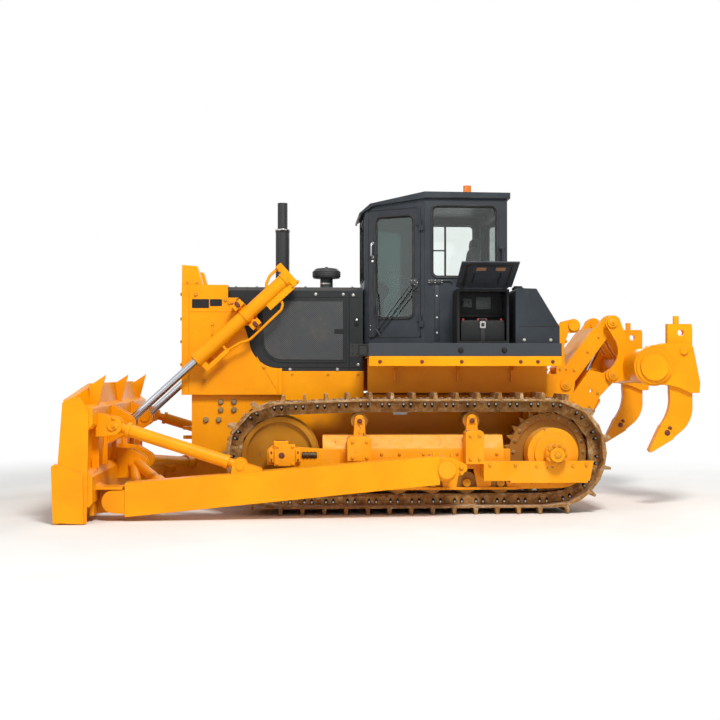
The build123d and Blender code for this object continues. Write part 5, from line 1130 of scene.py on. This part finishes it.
# front and rear windows, each with a seal and a wiper
for name, x, way, window in (
    ("front", CORNER[0], FORWARD, FRONT_WINDOW), ("rear", CAB_BACK, REARWARD, REAR_WINDOW),
):
    on_end = plane((x, 0, 0), (0, 1, 0), UP, way)
    gasket(f"{name}_gasket", window, on_end, "chassis")
    top = window[1][1]
    with Piece(f"{name}_wiper", "plastic") as arm:
        arm.lathe(on_end(0.10, top + 0.035, -0.001), way, [(0, 0.022), (0.012, 0.022), (0.020, 0.012)], 16)
        for radius, path in (
            (0.005, ((0.10, 0.035, 0.014), (0.08, -0.02, 0.022), (-0.12, -0.32, 0.018))),
            (0.006, ((-0.12, -0.12, 0.010), (-0.12, -0.52, 0.010))),
        ):
            arm.tube([on_end(y, top + dz, out) for y, dz, out in path], radius, 8)

# roof: gutter line; beacon: its foot and the foot's screws
GUTTER_Y, GUTTER_Z = CAB_SIDE + 0.0275, 3.2335
with Piece("roof_gutter", "rubber") as gutter:
    for y in (-GUTTER_Y, GUTTER_Y):
        gutter.tube([(x, y, GUTTER_Z) for x in (0.375, 1.262)], 0.006, 6)
beacon = middle_of("beacon")
beacon.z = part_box("beacon")[0].z
with Piece("beacon_foot", "black", slot="black_plastic") as foot:
    foot.lathe(beacon + Vector((0, 0, 0.001)), UP, [(0, 0.0565), (0.022, 0.0575), (0.030, 0.0525)], 32)
    for n in range(3):
        angle = TURN * n / 3 + 0.4
        screw = beacon + Vector((0.0565 * cos(angle), 0.0565 * sin(angle), 0.004))
        foot.lathe(screw, UP, [(0, 0.007), (0.006, 0.007), (0.008, 0.004)], 8)


# ---------------------------------------------------------------- seat and controls
SQUARENESS = 0.32        # 1 would be round, 0 a box
CROWN = 0.10             # how much higher a cushion is in its middle than at its edges
SEAM = (0.16, 0.012)     # depth and width of a pressed seam


def cushion(name, centre, half, turn=0.0, grooves=(), across=56, around=28):
    """A crowned cushion with piping round it and pressed seams; turn leans it back, about Y."""
    lean = Matrix.Rotation(turn, 3, "Y")

    def push(value):
        """A sine or cosine pushed outward, which makes a soft square of a circle."""
        return (1 if value >= 0 else -1) * abs(value) ** SQUARENESS

    def put(x, y, z):
        return Vector(centre) + lean @ Vector((x, y, z))

    with Piece(name, "cloth", smooth=60) as body:
        rings = []
        for row in range(around + 1):
            rise = pi * (row / around - 0.5)
            points = []
            for step in range(across):
                spin = TURN * step / across
                x = half[0] * push(cos(rise)) * push(cos(spin))
                y = half[1] * push(cos(rise)) * push(sin(spin))
                crown = 1 - CROWN / 2 + CROWN * cos(pi / 2 * x / half[0]) * cos(pi / 2 * y / half[1])
                pressed = sum(SEAM[0] * exp(-(((y - at) / SEAM[1]) ** 2)) for at in grooves)
                points.append(put(x, y, half[2] * push(sin(rise)) * (crown - pressed)))
            rings.append(body.corners(points))
        body.skin(rings, ends=False)
        bmesh.ops.remove_doubles(body.bm, verts=body.bm.verts, dist=0.0001)
        spins = [TURN * n / 48 for n in range(48)]
        piping = [(half[0] * 1.002 * push(cos(a)), half[1] * 1.002 * push(sin(a))) for a in spins]
        for level in (-0.45, 0.45):
            body.tube([put(x, y, half[2] * level) for x, y in piping], 0.0035, 6, closed=True)
    return body.made


BACK_LEAN = radians(-84)
seat_piece = cushion("seat_cushion", (0.765, 0, 2.185), (0.245, 0.255, 0.065), grooves=(-0.13, 0.13))
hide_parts("seat")
cushion("seat_back", (0.985, 0, 2.520), (0.275, 0.235, 0.058), BACK_LEAN, (-0.12, 0.12))
cushion("seat_headrest", (1.015, 0, 2.835), (0.052, 0.130, 0.045), BACK_LEAN)
for side_name, side in SIDES:
    cushion(f"armrest_{side_name}", (0.790, side * 0.305, 2.430), (0.170, 0.040, 0.030), across=40, around=16)

with Piece("seat_suspension", "plastic") as base:
    base.slab((0.590, -0.230, 2.085), (0.960, 0.230, 2.122), 0.006)
    base.slab((0.600, -0.190, 1.733), (0.940, 0.190, 1.775), 0.006)
    for n in range(7):
        z = 1.795 + n * 0.044
        inset = 0.010 if n % 2 else 0.0
        base.slab((0.612 + inset, -0.178 + inset, z - 0.022), (0.928 - inset, 0.178 - inset, z + 0.022), 0.008)
    for side in (-1, 1):
        base.slab((0.900, side * 0.250, 2.110), (0.935, side * 0.285, 2.400), 0.004)
        base.tube([(1.000, side * 0.080, 2.760), (1.008, side * 0.080, 2.810)], 0.008, 8)

DIAL_WAY = (0.35, 0, 1)
with Piece("dash_bezels", "plastic") as bezels, Piece("dash_dials", "lamp_glass") as dials:
    for y in (-0.18, -0.06, 0.06, 0.18):
        face = Vector((-0.055, y, 2.392))
        bezels.lathe(face, DIAL_WAY, [(-0.004, 0.046), (0.010, 0.046), (0.012, 0.040)], 28)
        dials.lathe(face + Vector((0.004, 0, 0.011)), DIAL_WAY, [(0, 0.038), (0.002, 0.037)], 28)

GAITER = [(0, 0.035), (0.010, 0.034), (0.030, 0.020), (0.045, 0.013)]
KNOB = [(0, 0.011), (0.010, 0.018), (0.035, 0.024), (0.060, 0.026), (0.078, 0.018), (0.084, 0.006)]
with Piece("lever_boxes", "plastic") as levers, Piece("lever_knobs", "rubber") as knobs:
    for x, y, top, lean in ((0.42, -0.40, 2.46, -0.05), (0.42, 0.40, 2.46, -0.05), (0.50, 0.46, 2.40, 0.03)):
        levers.slab((x - 0.07, y - 0.055, 1.732), (x + 0.09, y + 0.055, 2.10), 0.010)
        levers.tube([(x, y, 2.095), (x, y, 2.18), (x + lean, y, top)], 0.009, 8)
        levers.lathe((x, y, 2.098), UP, GAITER)
        knobs.lathe((x + lean, y, top - 0.035), (lean * 2, 0, 1), KNOB, 18)

PEDAL_TILT = Matrix.Rotation(radians(-28), 3, "Y")
with Piece("pedals", "rubber") as pedals:
    for y in (-0.14, 0.14):
        pedals.slab((0.205, y - 0.045, 1.80), (0.222, y + 0.045, 1.93), 0.004, PEDAL_TILT)
        for n in range(5):
            rib = Vector((0.2225, y, 1.865)) + PEDAL_TILT @ Vector((0, 0, -0.045 + n * 0.0225))
            half = Vector((0, 0.040, 0))
            pedals.tube([rib - half, rib + half], 0.003, 6)
        pedals.tube([(0.200, y, 1.850), (0.150, y, 1.800)], 0.010, 8)

# ---------------------------------------------------------------- battery box and its lid
with (
    Piece("batteries", "black", slot="black_plastic") as cases,
    Piece("battery_tops", "rubber") as tops,
    Piece("battery_terminals", "red_cap") as terminals,
):
    for x in (0.712, 0.948):
        cases.slab((x, -1.085, 1.737), (x + 0.212, -0.865, 1.925), 0.006)
        tops.slab((x + 0.006, -1.079, 1.922), (x + 0.206, -0.871, 1.946), 0.006)
        for n in range(6):
            plug = [(0, 0.011), (0.006, 0.011), (0.008, 0.008)]
            tops.lathe((x + 0.031 + 0.030 * n, -0.975, 1.944), UP, plug, 12)
        for dx in (0.030, 0.182):
            terminals.lathe((x + dx, -1.050, 1.944), UP, [(0, 0.013), (0.018, 0.011), (0.022, 0.008)], 14)
with Piece("battery_strap", "rubber") as strap:
    strap.slab((0.915, -1.092, 1.738), (0.957, -1.088, 1.958), 0.001)
    strap.slab((0.915, -1.092, 1.954), (0.957, -0.860, 1.958), 0.001)
    strap.slab((0.700, -0.885, 1.985), (1.170, -0.860, 2.015), 0.002)
with Piece("battery_buckle", "steel", slot="steel") as buckle:
    middle = (0.936, 1.900)
    on_strap = plane((0, -1.099, 0), REARWARD, UP, (0, 1, 0))
    buckle.border(
        round_box(middle, (0.030, 0.034), 0.010), round_box(middle, (0.016, 0.018), 0.005), on_strap, 0.006,
    )
with Piece("battery_switches", "engine") as switches:
    switches.slab((0.890, -1.056, 1.962), (0.982, -1.044, 1.968), 0.001)
    switches.slab((0.760, -0.860, 2.090), (0.860, -0.851, 2.180), 0.004)
    switches.slab((0.900, -0.860, 2.070), (1.060, -0.851, 2.200), 0.004)
    for x in (0.780, 0.840):
        switches.lathe((x, -0.860, 2.135), (0, -1, 0), [(0, 0.018), (0.020, 0.018), (0.024, 0.012)], 14)

LID_HINGE = Vector((0.936, -1.132, 2.276))
LID_SLOPE = radians(25)
LID_OUT = Vector((0, -cos(LID_SLOPE), sin(LID_SLOPE)))
LID_UP = Vector((0, sin(LID_SLOPE), cos(LID_SLOPE)))
under_lid = plane(LID_HINGE - LID_UP * 0.0055, REARWARD, LID_OUT, -LID_UP)
with Piece("lid_plates", "brown_plate", "battery_lid") as plates:
    for u in (-0.075, 0.115):
        plates.prism(round_box((u, 0.380), (0.048, 0.030), 0.004), under_lid, 0.003)
with Piece("lid_ribs", "black", "battery_lid") as ribs:
    for reach, low, high, radius in ((0.222, 0.06, 0.45, 0.008), (0.130, 0.10, 0.30, 0.006)):
        for u in (-reach, reach):
            ribs.tube([under_lid(u, v, 0.004) for v in (low, high)], radius, 6)
    ribs.tube([under_lid(u, 0.455, 0.004) for u in (-0.222, 0.222)], 0.008, 6)
    ribs.tube([under_lid(-0.205, v, 0.012) for v in (0.065, 0.300)], 0.005, 8)


# ---------------------------------------------------------------- blade, push arms and lift cylinders
# worn steel of the cutting edge: a thin skin over the lowest strip of the blade's front
STRIPS = [-1.84 + 0.08 * n for n in range(47)]
LEVELS = (0.012, 0.070, 0.130, 0.200)
SAME_PLATE = 0.05                       # corners farther apart in x lie on different plates
WORN_SKIN = (-0.0015, 0.0005)           # before and behind the blade's own face
grid = [[touch("blade", (-4, y, z), REARWARD) for z in LEVELS] for y in STRIPS]
with Piece("blade_worn_edge", "worn_edge", "blade") as worn:
    for first, second in zip(grid, grid[1:]):
        for index in range(len(LEVELS) - 1):
            patch = (first[index], second[index], second[index + 1], first[index + 1])
            depths = [corner.x for corner in patch]
            if max(depths) - min(depths) < SAME_PLATE:
                worn.skin([
                    worn.corners(corner + Vector((offset, 0, 0)) for corner in patch) for offset in WORN_SKIN
                ])

ARM_Y = 1.545
TRUNNION, TRUNNION_FACE = (0.497, 0.479), 1.676
with Piece("push_arm_bolts", "bolt", "blade") as arm_bolts, Piece("trunnion_rings", "bolt") as trunnions:
    for side_name, side in SIDES:
        arm = f"push_arm_{side_name}"
        for z in (0.500, 0.447):
            arm_bolts.seated(arm, *from_side(side, 0.640, z), 0.040)
        for x in (0.385, 0.560):
            arm_bolts.seated(arm, (x, side * ARM_Y, 2), DOWN, 0.040, height=0.034)
        on_side = plane((0, 0, 0), REARWARD, UP, (0, side, 0))
        trunnions.border(circle(TRUNNION, 0.058), circle(TRUNNION, 0.048), sunk(on_side, TRUNNION_FACE), 0.006)

# one bolt on each outer bracket of the blade's back
bolted("blade_bracket_bolts", "bolt", ("blade", 0.034, from_sides(((-2.700, 0.980),))))


def keeper(piece, place, side, radius, top, rim, head, size, count):
    """A round keeper plate on a pin's end, and the bolt that holds it."""
    outward = Vector((0, side, 0))
    piece.lathe(place - outward * 0.001, outward, [(0, radius), (0.008, radius), (top, rim)], count)
    piece.bolt(place + outward * head, outward, size, washer=False)


LIFT_PIVOT = Vector((-1.473, 0, 2.018))
LIFT_EYE = Vector((-2.690, 0, 0.903))
LIFT_Y = 0.665
BLOCK_BOLTS = ((-0.625, 0.105), (-0.560, -0.105), (-0.560, 0.105))      # along and beside the cylinder
down = (LIFT_EYE - LIFT_PIVOT).normalized()
beside = Vector((-down.z, 0, down.x))
for side_name, side in SIDES:
    barrel, yoke = f"lift_barrel_{side_name}", f"lift_yoke_{side_name}"
    on_lift = plane(LIFT_PIVOT + Vector((0, side * LIFT_Y, 0)), down, beside, (0, 1, 0))
    with Piece(f"lift_fittings_{side_name}", "bolt", barrel) as fittings:
        # bolts of the upper end block, seen from the side and from its end
        for along, off in BLOCK_BOLTS:
            start = on_lift(along, off)
            fittings.seated(barrel, *from_side(side, start.x, start.z), 0.026)
        for dy in (-0.055, 0.055):
            fittings.seated(barrel, on_lift(-1.2, 0, dy), down, 0.026)
        # bolts round the gland
        end = (touch(barrel, on_lift(1.3, 0, side * 0.058), -down) - LIFT_PIVOT).dot(down)
        for n in range(8):
            angle = TURN * n / 8 + 0.2
            spot = on_lift(end, 0.057 * cos(angle), 0.057 * sin(angle))
            fittings.bolt(spot, down, 0.016, washer=False)
    # yoke: pin ends and cap bolts, beside the barrel
    with Piece(f"lift_yoke_bolts_{side_name}", "pin_rust", barrel) as pins:
        for off in (-0.150, 0.150, -0.125, 0.125):
            spot = on_lift(0, off)
            pins.seated(yoke, *from_side(side, spot.x, spot.z), 0.036)
        for off in (-0.5, 0.5):
            for step in (-0.035, 0.035):
                pins.seated(yoke, on_lift(step, off), -beside * off, 0.030, height=0.018)
    with Piece(f"lift_eye_bolt_{side_name}", "bolt", "blade") as eye:
        place = touch("blade", *from_side(side, LIFT_EYE.x, LIFT_EYE.z))
        keeper(eye, place, side, 0.030, 0.010, 0.026, 0.008, 0.024, 20)


# ---------------------------------------------------------------- ripper
RIPPER_PINS = {"ripper_mount": ((1.938, 0.718), (1.930, 1.281)), "ripper_beam": ((2.446, 1.392), (2.438, 1.955))}
for node, places in RIPPER_PINS.items():
    body = body_of_node[node]
    with Piece(f"pin_keepers_{body}", "bolt", body) as keepers:
        for x, z in places:
            for _, side in SIDES:
                place = touch(node, *from_side(side, x, z))
                keeper(keepers, place, side, 0.036, 0.011, 0.030, 0.010, 0.022, 24)

# pins of the shanks and of their points
SHANK_Y = 0.866
with Piece("shank_pins", "pin_rust", "ripper_beam", "steel") as shank_pins:
    for node, x, z, size in (
        ("ripper_points", 2.893, 0.790, 0.030), ("ripper_shanks", 2.925, 0.835, 0.022),
        ("ripper_shanks", 3.010, 1.320, 0.020),
    ):
        head = [(0, size), (0.005, size), (0.005, size * 0.6), (0.009, size * 0.6), (0.011, size * 0.4)]
        for y in (-SHANK_Y, SHANK_Y):
            for offset in (-1, 1):
                place = touch(node, (x, y + offset * 0.3, z), (0, -offset, 0))
                shank_pins.lathe(place - Vector((0, offset * 0.001, 0)), (0, offset, 0), head)

# weld beads round the covers at the beam's ends
BEAM_END = (2.737, 1.482)
with Piece("beam_end_beads", "yellow", "ripper_beam") as beads:
    for _, side in SIDES:
        end = touch("ripper_beam", *from_side(side, *BEAM_END))
        on_beam = plane((0, end.y, 0), REARWARD, UP, (0, side, 0))
        beads.border(circle(BEAM_END, 0.150, 40), circle(BEAM_END, 0.140, 40), sunk(on_beam, 0.004), 0.006)

# ripper cylinders: a pipe along each barrel with its two clamps
RIPPER_FOOT = Vector((1.950, 0, 0.880))
up = (Vector((2.448, 0, 1.865)) - RIPPER_FOOT).normalized()
behind = Vector((up.z, 0, -up.x))
PIPE = ((0.110, -0.010), (0.130, 0.016), (0.160, 0.022), (0.540, 0.022), (0.575, 0.016), (0.590, -0.010))
with (
    Piece("ripper_pipes", "yellow", "ripper_barrels") as pipes,
    Piece("ripper_pipe_clamps", "bolt", "ripper_barrels") as clamps,
):
    for middle in loose_middles("ripper_barrels"):
        on_barrel = plane(RIPPER_FOOT + Vector((0, middle.y, 0)), up, behind, (0, 1, 0))
        off = (touch("ripper_barrels", on_barrel(0.40, 0.5), -behind) - RIPPER_FOOT).dot(behind)
        pipes.tube([on_barrel(along, off + out) for along, out in PIPE], 0.010)
        for along in (0.22, 0.48):
            low, high = on_barrel(along - 0.012, off - 0.004, -0.022), on_barrel(along + 0.012, off + 0.026, 0.022)
            clamps.slab(low, high, 0.003)
